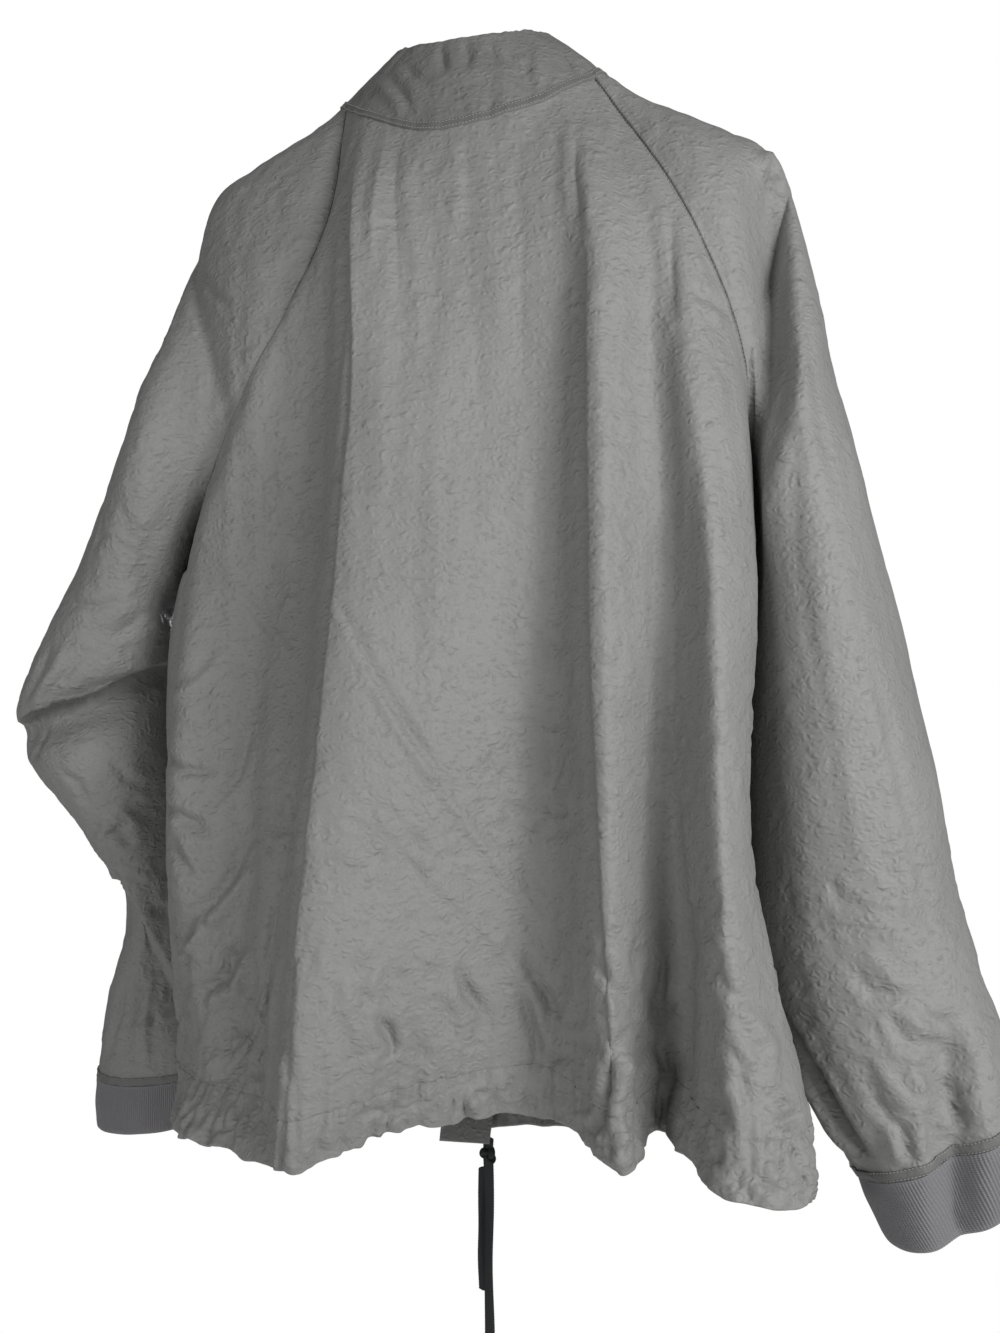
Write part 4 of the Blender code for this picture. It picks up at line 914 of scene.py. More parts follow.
def shell(name, grid, way, thick, look, slot, closed=False, roll=None, shift=0.0):
    """A thin closed wall on a grid: two skins and the edges between, one edge rolled round."""
    if roll == "top":
        grid, way = grid[::-1], way[::-1]
        thick = thick[::-1] if np.ndim(thick) else thick
    rows, columns = grid.shape[:2]
    half = np.asarray(thick, float) / 2
    if half.ndim < 2:
        half = np.broadcast_to(half.reshape(-1, 1), (rows, columns))
    half = half[..., None]
    outer = grid + way * (shift + half)
    inner = grid + way * (shift - half)
    u = lengths(grid, 1).mean(axis=0)
    v = lengths(grid, 0).mean(axis=1)
    if roll:
        run = [outer]
        along = [v]
        down = unit(grid[-1] - grid[-2])
        for angle in np.radians(ROLL_ANGLES):
            turn = way[-1] * (shift + half[-1] * math.cos(angle)) + down * half[-1] * math.sin(angle)
            run.append((grid[-1] + turn)[None])
            along.append(v[-1:] + half[-1].mean() * math.sin(angle))
        skin = np.concatenate([*run, inner[::-1]])
        quads = grid_quads(len(skin), columns, closed)
        points = skin.reshape(-1, 3)
        uv = flat_places(np.concatenate([*along, v[::-1]]), u)
    else:
        quads = grid_quads(rows, columns, closed)
        step = 2 if rows * columns > LARGE_GRID else 1
        r, c = (np.unique(np.append(np.arange(0, n, step), n - 1)) for n in (rows, columns))
        back = grid_quads(len(r), len(c), closed)[:, ::-1]
        quads = np.concatenate([quads, back + rows * columns])
        points = np.concatenate([outer.reshape(-1, 3), inner[r][:, c].reshape(-1, 3)])
        uv = np.concatenate([flat_places(v, u), flat_places(v[r], u[c])])
    strips = []
    if roll and closed:
        i = np.arange(columns)
        j = (i + 1) % columns
        last = (len(skin) - 1) * columns
        quads = np.concatenate([quads, np.stack([i, last + i, last + j, j], -1)])
    else:
        strips.append((outer[0], inner[0], True))
    if not roll:
        strips.append((inner[-1], outer[-1], True))
    if not closed:
        strips.append((outer[:, -1], inner[:, -1], False))
        strips.append((inner[:, 0], outer[:, 0], False))
    for a, b, round_about in strips:
        start = len(points)
        count = len(a)
        points = np.concatenate([points, a, b])
        edge = np.zeros((2 * count, 2))
        edge[:, 0] = np.tile(np.arange(count) * 2 * MM, 2)
        uv = np.concatenate([uv, edge])
        i = np.arange(count if closed and round_about else count - 1)
        j = (i + 1) % count
        quads = np.concatenate([quads, start + np.stack([i, i + count, j + count, j], -1)])
    if roll == "top":
        quads = quads[:, ::-1]
    return mesh_object(name, points, quads, look, uv)


def cover(name, nodes, look, slot, grid, way, thick, **how):
    """A shell that takes the place of nodes of the model."""
    piece = shell(name, grid, way, thick, look, slot, **how)
    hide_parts(*nodes)
    return piece


def border_line(grid, way, distance, side):
    """The line that runs at a distance inside one border of a grid, and its ways out."""
    if side in ("left", "right"):
        grid, way = grid.transpose(1, 0, 2), way.transpose(1, 0, 2)
    if side in ("bottom", "right"):
        grid, way = grid[::-1], way[::-1]
    run = lengths(grid, 0)
    deep = min(len(grid), BORDER_DEEP)
    column = np.arange(grid.shape[1])
    at = np.array([np.interp(distance, run[:deep, c], np.arange(deep)) for c in column])
    low = np.clip(np.floor(at).astype(int), 0, len(grid) - 2)
    part = (at - low)[:, None]
    line, out = (between(g[low, column], g[low + 1, column], part) for g in (grid, way))
    return line, unit(out)


def stitches(name, lines, pitch=STITCH_PITCH, radius=THREAD, lift=STITCH_LIFT):
    """Short thread dashes in a row along each line; a line is points and ways out."""
    points = []
    total = 0
    for line, way in lines:
        run = lengths(line)
        count = int(run[-1] / pitch)
        if count < 1:
            continue
        middle = (np.arange(count) + 0.5) * run[-1] / count
        centre, up = at_lengths(line, middle, way)
        ahead = at_lengths(line, middle + STITCH_AHEAD)
        forward = unit(ahead - at_lengths(line, middle - STITCH_AHEAD))
        up = unit(up)
        side = unit(np.cross(forward, up))
        half = pitch * STITCH_SHARE / 2
        rings = []
        for t, size in STITCH_RINGS:
            base = centre + forward * half * t + up * (lift - radius * 0.5 * abs(t)**3)
            for turn in np.radians((0, 90, 180, 270)):
                rings.append(base + (side * math.cos(turn) + up * math.sin(turn)) * radius * size)
        points.append(np.array(rings).transpose(1, 0, 2).reshape(-1, 3))
        total += count
    return mesh_object(name, np.concatenate(points), bar_quads(len(STITCH_RINGS), total), "thread")


# ---------------------------------------------------------------- materials
def node(tree, kind, inputs=(), **settings):
    """A node with its settings; each input is a plain value or another node's output."""
    made = tree.nodes.new(kind)
    for name, value in settings.items():
        setattr(made, name, value)
    for name, value in dict(inputs).items():
        if isinstance(value, bpy.types.NodeSocket):
            tree.links.new(value, made.inputs[name])
        else:
            made.inputs[name].default_value = value
    return made


def blank_material(name, values):
    """A material with plain values on its shader's own sockets, its node tree and its shader."""
    made = bpy.data.materials.new(name)
    made.use_nodes = True
    shader = made.node_tree.nodes["Principled BSDF"]
    for socket, value in values.items():
        shader.inputs[socket].default_value = value
    return made, made.node_tree, shader


def colour(tree, shader, source, low, high, dark, light):
    """Base colour that runs from dark to light while the source runs from low to high."""
    tone = node(tree, "ShaderNodeValToRGB", {"Fac": source})
    for stop, position, shade in zip(tone.color_ramp.elements, (low, high), (dark, light)):
        stop.position = position
        stop.color = (*shade, 1)
    tree.links.new(tone.outputs["Color"], shader.inputs["Base Color"])


def gloss(tree, shader, source, least, most):
    """Roughness that follows the source."""
    spread = node(tree, "ShaderNodeMapRange", {"Value": source, "To Min": least, "To Max": most})
    tree.links.new(spread.outputs["Result"], shader.inputs["Roughness"])


def bump(tree, height, strength, distance, under=None):
    """The normal of a bump, laid over another normal where one is given."""
    inputs = {"Height": height, "Strength": strength, "Distance": distance}
    if under:
        inputs["Normal"] = under
    return node(tree, "ShaderNodeBump", inputs).outputs["Normal"]


def blend(tree, share, first, second):
    """Two textures mixed into one value."""
    inputs = {"Factor": share, "A": first.outputs["Fac"], "B": second.outputs["Fac"]}
    return node(tree, "ShaderNodeMix", inputs, data_type="FLOAT").outputs["Result"]


def cloth_material(name, dark, light, roughness, sheen, crinkle, weave):
    """Woven cloth: mottled colour, uneven gloss, short crinkles and a plain weave in its bump."""
    made, tree, shader = blank_material(name, {"Sheen Weight": sheen, "Sheen Roughness": 0.45,
                                               "Specular IOR Level": 0.35})
    place = node(tree, "ShaderNodeTexCoord").outputs["Object"]
    broad = node(tree, "ShaderNodeTexNoise", {"Vector": place, "Scale": 11.0, "Detail": 3.0})
    inputs = {"Vector": place, "Scale": 620.0, "Detail": 3.0, "Roughness": 0.7}
    fine = node(tree, "ShaderNodeTexNoise", inputs)
    colour(tree, shader, blend(tree, 0.55, broad, fine), 0.36, 0.64, dark, light)
    gloss(tree, shader, broad.outputs["Fac"], roughness - 0.06, roughness + 0.08)
    squeeze = node(tree, "ShaderNodeMapping", {"Vector": place, "Scale": CRINKLE_STRETCH})
    normal = None
    for scale, distance, detail in CRINKLES:
        inputs = {"Vector": squeeze.outputs["Vector"], "Scale": scale, "Detail": detail, "Roughness": 0.5,
                  "Distortion": 0.3}
        wrinkle = node(tree, "ShaderNodeTexNoise", inputs, noise_type="RIDGED_MULTIFRACTAL", normalize=True)
        normal = bump(tree, wrinkle.outputs["Fac"], crinkle, distance, normal)
    flat = node(tree, "ShaderNodeUVMap", uv_map="cloth").outputs["UV"]
    inputs = {"Vector": flat, "Scale": WAVE_STEP / weave, "Distortion": 0.5, "Detail": 1.0}
    threads = [node(tree, "ShaderNodeTexWave", inputs, bands_direction=d).outputs["Fac"] for d in "XY"]
    crossed = node(tree, "ShaderNodeMath", dict(enumerate(threads)), operation="MULTIPLY")
    normal = bump(tree, crossed.outputs["Value"], 0.35, 0.00008, normal)
    tree.links.new(normal, shader.inputs["Normal"])
    return made


def knit_material(name, dark, light):
    """Fine rib knit: rows of small stitches up each rib, with painted shade that darkens the colour in the
    hollows between them.
    """
    made, tree, shader = blank_material(name, {"Roughness": 0.85, "Sheen Weight": 0.25,
                                               "Specular IOR Level": 0.25})
    flat = node(tree, "ShaderNodeUVMap", uv_map="cloth").outputs["UV"]
    inputs = {"Vector": flat, "Scale": WAVE_STEP / KNIT_ROW, "Distortion": 1.2, "Detail": 2.0,
              "Detail Scale": 3.0}
    rows = node(tree, "ShaderNodeTexWave", inputs, bands_direction="Y")
    place = node(tree, "ShaderNodeTexCoord").outputs["Object"]
    fuzz = node(tree, "ShaderNodeTexNoise", {"Vector": place, "Scale": 900.0, "Detail": 2.0})
    both = blend(tree, 0.5, rows, fuzz)
    # Painted shade: the colour follows the bump's own rows and runs darker in their hollows, mixed with
    # random fuzz in the tone.
    colour(tree, shader, both, 0.2, 0.8, dark, light)
    tree.links.new(bump(tree, both, 0.6, 0.0002), shader.inputs["Normal"])
    return made


def hard_material(name, dark, light, roughness, metallic, grain, depth, stretch=(1, 1, 1)):
    """Plastic, metal or thread: grain in its colour, its gloss and its bump."""
    made, tree, shader = blank_material(name, {"Metallic": metallic})
    place = node(tree, "ShaderNodeTexCoord").outputs["Object"]
    squeeze = node(tree, "ShaderNodeMapping", {"Vector": place, "Scale": stretch})
    inputs = {"Vector": squeeze.outputs["Vector"], "Scale": grain, "Detail": 4.0, "Roughness": 0.6}
    speck = node(tree, "ShaderNodeTexNoise", inputs).outputs["Fac"]
    colour(tree, shader, speck, 0.3, 0.7, dark, light)
    gloss(tree, shader, speck, roughness - 0.08, roughness + 0.08)
    tree.links.new(bump(tree, speck, 0.5, depth), shader.inputs["Normal"])
    return made


# ---------------------------------------------------------------- studio
def studio():
    """The photo's camera, soft lamps, white surroundings and a pale floor."""
    yaw, pitch = math.radians(CAMERA_HEADING), math.radians(CAMERA_TILT)
    look = Vector((math.sin(yaw) * math.cos(pitch), -math.cos(yaw) * math.cos(pitch), math.sin(pitch)))
    right = look.cross(Vector((0, 0, 1))).normalized()
    up = right.cross(look)
    lens = bpy.data.cameras.new("camera")
    lens.sensor_fit = "AUTO"
    lens.sensor_width = SENSOR
    lens.lens = SENSOR * FOCAL_PIXELS / IMAGE_HEIGHT
    lens.clip_start = 0.01
    camera = put("camera", lens)
    rows = [[right[i], up[i], -look[i], CAMERA_PLACE[i]] for i in range(3)]
    camera.matrix_world = Matrix(rows + [[0, 0, 0, 1]])
    bpy.context.scene.camera = camera

    for name, place, power in LAMPS:
        lamp = bpy.data.lights.new(name, "AREA")
        lamp.energy = power
        lamp.size = LAMP_SIZE
        holder = put(name, lamp)
        holder.location = place
        holder.rotation_euler = (Vector(place) - Vector(LAMP_AIM)).to_track_quat("Z", "Y").to_euler()
        holder.visible_camera = False
    world = bpy.data.worlds.new("white_studio")
    world.use_nodes = True
    tree = world.node_tree
    dim = tree.nodes["Background"]
    dim.inputs["Color"].default_value = (1, 1, 1, 1)
    dim.inputs["Strength"].default_value = SURROUND
    white = node(tree, "ShaderNodeBackground", {"Color": (1, 1, 1, 1), "Strength": 1.0})
    seen = node(tree, "ShaderNodeLightPath")
    either = node(tree, "ShaderNodeMixShader", {"Fac": seen.outputs["Is Camera Ray"],
                                                1: dim.outputs["Background"], 2: white.outputs["Background"]})
    tree.links.new(either.outputs["Shader"], tree.nodes["World Output"].inputs["Surface"])
    bpy.context.scene.world = world
    bpy.context.scene.view_settings.view_transform = "Standard"

    mesh = bpy.data.meshes.new("floor")
    size = FLOOR_HALF
    corners = ((-size, -size), (size, -size), (size, size), (-size, size))
    mesh.from_pydata([(*corner, FLOOR) for corner in corners], [], [(0, 1, 2, 3)])
    pale = hard_material("pale_floor", (0.93, 0.93, 0.93), (0.95, 0.95, 0.95), 0.9, 0.0, 2.0, 0.0001)
    shader = pale.node_tree.nodes["Principled BSDF"]
    shader.inputs["Emission Color"].default_value = (1, 1, 1, 1)
    shader.inputs["Emission Strength"].default_value = FLOOR_GLOW
    mesh.materials.append(pale)
    put("floor", mesh)


# ---------------------------------------------------------------- drawcord
def flat_cord(name, route, twist):
    """A flat plaited cord along a smooth line, its ends sealed; gives the piece, path and length."""
    line = spline(route, [30] * (len(route) - 1))
    total = lengths(line)[-1]
    count = int(total / CORD_STEP)
    run = np.linspace(0, total, count + 1)
    line = at_lengths(line, run)
    forward = unit(np.gradient(line, axis=0))
    side = unit(np.cross(np.array(CORD_FACES)[None], forward))
    flat = unit(np.cross(forward, side))
    turn = twist * (1 - np.cos(run / total * 2 * math.pi))[:, None] / 2
    side, flat = side * np.cos(turn) + flat * np.sin(turn), flat * np.cos(turn) - side * np.sin(turn)
    around = np.linspace(0, 2 * math.pi, CORD_ROUND + 1)[:-1]
    across = np.sign(np.cos(around)) * np.abs(np.cos(around)) ** 0.75 * CORD_WIDTH / 2
    over = np.sign(np.sin(around)) * np.abs(np.sin(around)) ** 0.6 * CORD_THICK / 2
    plait = np.sin(2 * math.pi * (run[:, None] / PLAIT + np.abs(across)[None] / PLAIT_SLANT))
    swell = 1 + 0.07 * plait
    close = np.clip(np.minimum(run, total - run) / SEALED_END, 0.15, 1)[:, None] ** 0.5
    skin = (line[:, None] + side[:, None] * (across * close * (0.97 + 0.02 * plait))[..., None]
            + flat[:, None] * (over * swell * close)[..., None])
    quads = grid_quads(len(line), len(around), closed=True)
    n = len(line) * len(around)
    points = np.concatenate([skin.reshape(-1, 3), line[:1], line[-1:]])
    k = len(around)
    i = np.arange(0, k, 2)
    first, second, third = (i, (i + 1) % k, (i + 2) % k)
    caps = [np.stack([third, second, first, np.full_like(i, n)], -1),
            np.stack([n - k + first, n - k + second, n - k + third, np.full_like(i, n + 1)], -1)]
    uv = np.zeros((len(points), 2))
    uv[:n] = np.stack(np.meshgrid(run, np.arange(k) * 0.0008, indexing="ij"), -1).reshape(-1, 2)
    piece = mesh_object(name, points, np.concatenate([quads, *caps]), "cord", uv)
    return piece, [tuple(p) for p in line[::max(1, count // PATH_POINTS)]], total


def knot():
    """An overhand knot of the same cord, drawn tight in two lumps."""
    t = np.linspace(0, 2 * math.pi, 181)[:-1]
    centre = np.array(KNOT_CENTRE)
    loop = np.stack([np.sin(t) + 2 * np.sin(2 * t), -np.sin(3 * t), np.cos(t) - 2 * np.cos(2 * t)], 1)
    loop = centre + loop * np.array(KNOT_SIZE)
    turn = math.radians(KNOT_TURN)
    spin = np.array([[math.cos(turn), 0, math.sin(turn)], [0, 1, 0], [-math.sin(turn), 0, math.cos(turn)]])
    loop = centre + (loop - centre) @ spin.T
    forward = unit(np.roll(loop, -1, 0) - np.roll(loop, 1, 0))
    side = unit(np.cross(forward, loop - centre + 1e-5))
    flat = unit(np.cross(side, forward))
    around = np.linspace(0, 2 * math.pi, KNOT_ROUND + 1)[:-1]
    run = np.arange(len(t)) * 0.0007
    plait = 1 + 0.06 * np.sin(2 * math.pi * (run[:, None] / PLAIT + np.abs(np.cos(around))[None] * 1.5))
    skin = (loop[:, None] + side[:, None] * (np.cos(around) * KNOT_STRAND[0] * plait)[..., None]
            + flat[:, None] * (np.sin(around) * KNOT_STRAND[1] * plait)[..., None])
    k = len(around)
    quads = grid_quads(len(t) + 1, k, closed=True) % (len(t) * k)
    return mesh_object("cord_knot", skin.reshape(-1, 3), quads, "cord")


# ---------------------------------------------------------------- the cloth's own movement
def edge_heights(kind, gap, seam):
    """How a sewn edge moves the cloth at a gap from it; seam is the nearest place on the edge."""
    groove, ridge, short, reach, space, long, far, wide = np.array(EDGES[kind]) * MM
    uneven = np.clip(0.85 + 0.7 * noise(seam / UNEVEN_SIZE, 5), 0.45, 1.6)
    out = -groove * np.exp(-(gap / GROOVE_HALF) ** 2)
    out = out + ridge * np.exp(-((gap - RIDGE_PLACE) / RIDGE_HALF) ** 2)
    pleat = noise(seam / space, 6)
    pleat = 0.5 * pleat + 1.3 * folded(noise(seam / space * 0.8, 9), 0.12)
    folds = short * uneven * pleat * np.exp(-gap / reach)
    crest = 0.6 * noise(seam / wide, 7) + 0.8 * folded(noise(seam / wide, 10), 0.15)
    folds = folds + long * crest * np.exp(-gap / far)
    return out + folds * (1 - np.exp(-gap / 0.003) if kind == "cuff" else 1)


def crumple(name, p):
    """Seeded noise that crumples the cloth, more towards the hem and at the left bulge."""
    soft = SOFT_HEIGHT * noise(p / SOFT_SIZE, 1)
    bend = BEND * np.stack([noise(p / BEND_SIZE, seed) for seed in (21, 22, 23)], axis=1)
    middle = folded(noise(p / MIDDLE_SIZE + bend, 2), 0.06) * MIDDLE_HEIGHT
    small = folded(noise(p / SMALL_SIZE + bend * 2, 3), 0.08) * SMALL_HEIGHT
    patchy = np.clip(0.70 + 1.3 * noise(p / PATCH_SIZE, 4), 0.1, 1.9)
    calm = np.clip(0.30 - 2.8 * (p[:, 2] + 0.38), 0.30, 1.2)
    if name == "sleeve_left":
        calm = np.clip(calm, 0.55, 0.75)
    if name == "sleeve_right":
        calm = 0.60 * calm
    if name == "back":
        off = (p[:, [0, 2]] - BULGE) / BULGE_HALF
        calm *= 1 + 0.9 * np.exp(-off[:, 0] ** 2 - off[:, 1] ** 2)
    out = soft + (middle + small) * patchy * calm
    upper = np.clip(1.0 + (p[:, 2] + 0.30) / 0.5, 0.3, 1)
    return out + BAND_HEIGHT * upper * noise(p / BAND_SIZE + 0.5 * bend, 8)


def cloth_heights(name, grid, way, arm, edges):
    """How far out each point of one panel lies from the smooth surface."""
    p = grid.reshape(-1, 3)
    w = way.reshape(-1, 3)
    back = np.clip(w[:, 1] * 1.6 + 0.55, 0, 1)
    front = np.clip(0.45 - w[:, 1] * 1.6, 0, 1)
    body = name not in ("sleeve_left", "sleeve_right", "collar")
    faces = {"back": back * body, "front": front * body, "collar": back * (name == "collar")}
    for side in ("left", "right"):
        faces[side] = back * (name == "sleeve_" + side)
        faces[side + "_front"] = front * (name == "sleeve_" + side)
    out = (crumple(name, p) + crease_heights(p, faces)).reshape(grid.shape[:2])

    down = lengths(grid, 0)
    across = lengths(grid, 1)
    gaps = {"top": (down, grid[:1]), "bottom": (down[-1:] - down, grid[-1:]),
            "left": (across, grid[:, :1]), "right": (across[:, -1:] - across, grid[:, -1:])}
    below = (np.arange(len(grid)) >= arm)[:, None]
    for side, kinds in edges.items():
        gap, seam = gaps[side]
        seam = np.broadcast_to(seam, grid.shape)
        first, second = kinds if isinstance(kinds, tuple) else (kinds, kinds)
        moved = edge_heights(first, gap, seam)
        if second != first:
            moved = np.where(below, edge_heights(second, gap, seam), moved)
        if first == "zip":
            out = out * (1 - np.exp(-gap / ZIP_CALM))
        out = out * (0.55 + 0.45 * (1 - np.exp(-gap / EDGE_CALM))) + moved
    if name == "hem_channel":
        q = grid / HEM_GATHER_SIZE + 0.7 * noise(grid / HEM_BEND_SIZE, 51)[..., None]
        full = np.clip(0.85 + noise(grid / HEM_UNEVEN_SIZE, 52), 0.25, 1.6)
        lumps = 0.6 * noise(q, 53) + 1.5 * folded(noise(q * 0.8, 54), 0.10)
        out += HEM_GATHER * full * lumps * np.sin(np.clip(down / CHANNEL, 0, 1) * 2.3)
    return out


def joined(parts):
    """Lines end to end, without the point that each one shares with the one before."""
    return np.concatenate([part[1 if k else 0:] for k, part in enumerate(parts)])


def make_cloth():
    """Crumpled panels and their ways out, then the smooth ones and theirs, and the armpit's row."""
    lines, starts, level = body_lines()
    arm, yoke, band = starts["arm"], starts["yoke"], starts["band"]
    back, right, left = (panel_grid(lines, arm, span, FINE_COLUMNS)
                         for span in (BACK, RIGHT_FRONT, LEFT_FRONT))
    near = SIDE_COLUMNS * FINE_COLUMNS
    picked = range(yoke, len(back), SIDE_ROWS)
    beside_left = [np.concatenate([left[r][-near:-1], back[r][:near]]) for r in picked]
    beside_right = [np.concatenate([back[r][-near:], right[r][1:near]])[::-1] for r in picked]
    sleeve_left = sleeve_grid("left", lines[0], lines[23], arm, level, beside_left)
    sleeve_right = sleeve_grid("right", lines[11], lines[12], arm, level, beside_right)
    neck = joined([left[0], sleeve_left[0][::-1], back[0], sleeve_right[0], right[0]])
    hem = np.concatenate([panel_grid(lines, arm, span, HEM_COLUMNS, dense=False)[band:, skip:]
                          for span, skip in ((LEFT_FRONT, 0), (BACK, 1), (RIGHT_FRONT, 1))], axis=1)
    cloth = Garment()
    cloth.add("back", back[:band + 1, ::-1], "body")
    cloth.add("front_right", right[:band + 1, ::-1], "body")
    cloth.add("front_left", left[:band + 1, ::-1], "body")
    cloth.add("sleeve_left", sleeve_left)
    cloth.add("sleeve_right", sleeve_right[:, ::-1])
    cloth.add("hem_channel", hem[:, ::-1], "body")
    cloth.add("collar", collar_grid(neck)[:, ::-1])
    cloth.merge()
    smooth = {n: g.copy() for n, g in cloth.grids.items()}
    ways = cloth.ways()
    heights = {n: cloth_heights(n, g, ways[n], arm, SEWN[n]) for n, g in cloth.grids.items()}
    cloth.move(ways, heights)
    hem = cloth.grids["hem_channel"]
    drop = (lengths(smooth["hem_channel"], 0) / CHANNEL) ** 2
    hem[..., 2] += HEM_DROP * drop * noise(smooth["hem_channel"] / HEM_DROP_SIZE, 55)
    return cloth.grids, cloth.ways(), smooth, ways, arm


# ---------------------------------------------------------------- pieces
def strip_grid(lines, lift):
    """Rows of a raised strip from lines and ways: highest in its middle, low at both edges."""
    swell = 1 - np.abs(np.linspace(-1, 1, len(lines))) ** 5
    rise = lift * (STRIP_EDGE + (1 - STRIP_EDGE) * swell)
    grid = np.array([line + way * r for (line, way), r in zip(lines, rise)])
    return grid, np.array([way for _, way in lines])


def neck_lines(grids, ways):
    """Lines along the neck seam for its binding, from the collar across to the panels."""
    order = ("front_right", "sleeve_right", "back", "sleeve_left", "front_left")
    out = [border_line(grids["collar"], ways["collar"], d, "bottom") for d in BINDING_LINES[:0:-1]]
    for d in BINDING_LINES:
        runs = [border_line(grids[n], ways[n], d, "top") for n in order]
        out.append((joined([line for line, _ in runs]), joined([way for _, way in runs])))
    kept = slice(BINDING_TRIM, -BINDING_TRIM)
    return [(line[kept], way[kept]) for line, way in out]


def sewn_strip(name, thread_name, covered, lines, lift, sewn, **how):
    """A folded strip over a seam and the two rows of stitches on it."""
    grid, way = strip_grid(lines, lift)
    strip = cover(name, (covered,), "binding", "binding", grid, way, STRIP_THICK, **how)
    rows = [(grid[k] + way[k] * STRIP_THICK / 2, way[k]) for k in sewn]
    stitches(thread_name, rows, pitch=STRIP_PITCH)
    return strip


def rib_cuff(side):
    """A ribbed cuff; its ribs stand on the outer skin only."""
    columns = RIBS * 4
    turn = np.arange(columns) / columns
    rows = np.concatenate([[0, .03, .08], np.linspace(.16, 1, 10)])
    rings = cuff_rings(side, turn, rows)
    down = unit(rings[-1].mean(axis=0) - rings[0].mean(axis=0))
    rings[0] += down * CUFF_GAP
    if side == "right":
        rings = rings[:, ::-1]
    along = np.roll(rings, -1, axis=1) - np.roll(rings, 1, axis=1)
    way = unit(np.cross(down, along))
    if np.sum(way * (rings - rings.mean(axis=1, keepdims=True))) < 0:
        way = -way
    ends = np.clip(np.minimum(rows, 1 - rows) * 14, 0.25, 1)[:, None]
    rib = RIB_HEIGHT * np.cos(np.arange(columns) * math.pi / 2) * ends
    slack = CUFF_WAVE * noise(rings / CUFF_WAVE_SIZE, 31) + CUFF_SWELL * np.sin(rows * math.pi)[:, None]
    rings = rings + way * (rib / 2 + slack * np.clip(rows * 6, 0, 1)[:, None])[..., None]
    return cover("rib_cuff_" + side, ("cuff_" + side,), "rib", "rib_knit", rings, way, KNIT_THICK + rib,
                 closed=True, roll="bottom")


def lofted(name, base, axes, outline, levels, body="jacket"):
    """A metal piece from one outline drawn at several heights and sizes, closed at both ends."""
    side, down, front = axes
    outline = np.array(outline)
    middle = outline.mean(axis=0)
    n = len(outline)
    points = []
    for height, size in levels:
        flat = middle + (outline - middle) * size
        points.append(base + side * flat[:, :1] + down * flat[:, 1:] + front * height)
    quads = grid_quads(len(levels), n, closed=True).tolist()
    top = (len(levels) - 1) * n
    for i in range(n // 2 - 1):
        quads.append((n - 1 - i, n - 2 - i, i + 1, i))
        quads.append((top + i, top + i + 1, top + n - 2 - i, top + n - 1 - i))
    piece = mesh_object(name, np.concatenate(points), quads, "metal", body=body)
    piece.data.set_sharp_from_angle(angle=math.radians(35))
    return piece


def zip_line(smooth, ways):
    """Each front edge from the collar's top to the hem, a line beside it, and the ways out."""
    out = {}
    for side, column, border in (("left", -1, "right"), ("right", 0, "left")):
        names = ("collar", "front_" + side, "hem_channel")
        beyond = [border_line(smooth[n], ways[n], TAPE_REACH, border) for n in names]
        out[side] = (joined([smooth[n][:, column] for n in names]),
                     joined([ways[n][:, column] for n in names]),
                     joined([line for line, _ in beyond]), joined([way for _, way in beyond]))
    return out


def make_tapes(sides, middle, outward, across):
    """A zip tape under each front edge, out to the teeth."""
    tapes = {}
    for side, sign in (("left", 1), ("right", -1)):
        edge, edge_way, beyond, beyond_way = sides[side]
        rows = [(beyond, beyond_way), (between(beyond, edge, .5), between(beyond_way, edge_way, .5)),
                (edge, edge_way)]
        rows += [(middle + sign * across * inside, outward) for inside in TAPE_INSIDE]
        grid = np.array([r[0] for r in rows]).transpose(1, 0, 2)[::2]
        way = unit(np.array([r[1] for r in rows]).transpose(1, 0, 2))[::2]
        if side == "left":
            grid, way = grid[:, ::-1], way[:, ::-1]
        name = "tape_" + side
        tapes[name] = cover(name, ("zip_" + name,), "tape", "zip_tape", grid, way, TAPE_THICK,
                            shift=TAPE_SHIFT)
    return tapes


def make_teeth(middle, outward, across):
    """Two rows of zip teeth that mesh along the middle line."""
    run = lengths(middle)
    count = int(run[-1] / TOOTH_PITCH)
    place = (np.arange(count) + 0.5) * run[-1] / count
    centre, out, wide = at_lengths(middle, place, outward, across)
    out, wide = unit(out), unit(wide)
    along = unit(np.gradient(centre, axis=0))
    sign = np.where(np.arange(count) % 2 == 0, 1.0, -1.0)[:, None]
    centre = centre + wide * sign * TOOTH_ASIDE - out * TOOTH_SUNK
    block = []
    for depth, x, z in TOOTH:
        for u, v in ((-1, -1), (1, -1), (1, 1), (-1, 1)):
            block.append(centre + out * depth + wide * u * x + along * v * z)
    block = np.array(block).transpose(1, 0, 2).reshape(-1, 3)
    teeth = mesh_object("zip_teeth", block, bar_quads(len(TOOTH), count), "teeth")
    teeth.data.set_sharp_from_angle(angle=math.radians(40))
    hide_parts("zip_chain")


def box_middle(name):
    """Middle of the box round one node of the model."""
    low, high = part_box(name)
    return np.array((Vector(low) + Vector(high)) / 2)


def make_slider(middle, outward, across):
    """The slider with its bridge, and the pull tab that hangs on it."""
    base = box_middle("zip_slider")
    near = int(np.argmin(np.linalg.norm(middle - base, axis=1)))
    down = unit(middle[near + 3] - middle[near - 3])
    front = unit(outward[near] - np.dot(outward[near], down) * down)
    axes = (across[near], down, front)
    start = base - front * SLIDER_HALF
    slider = lofted("slider_body", start, axes, np.array(SLIDER_OUTLINE) * SLIDER_SIZE, SLIDER_LEVELS)
    lofted("slider_bridge", start, axes, BRIDGE_OUTLINE, BRIDGE_LEVELS)
    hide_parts("zip_slider")
    pull = lofted("pull_plate", box_middle("zip_pull"), axes, np.array(PULL_OUTLINE) * PULL_SIZE,
                  PULL_LEVELS, body="pull_tab")
    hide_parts("zip_pull")


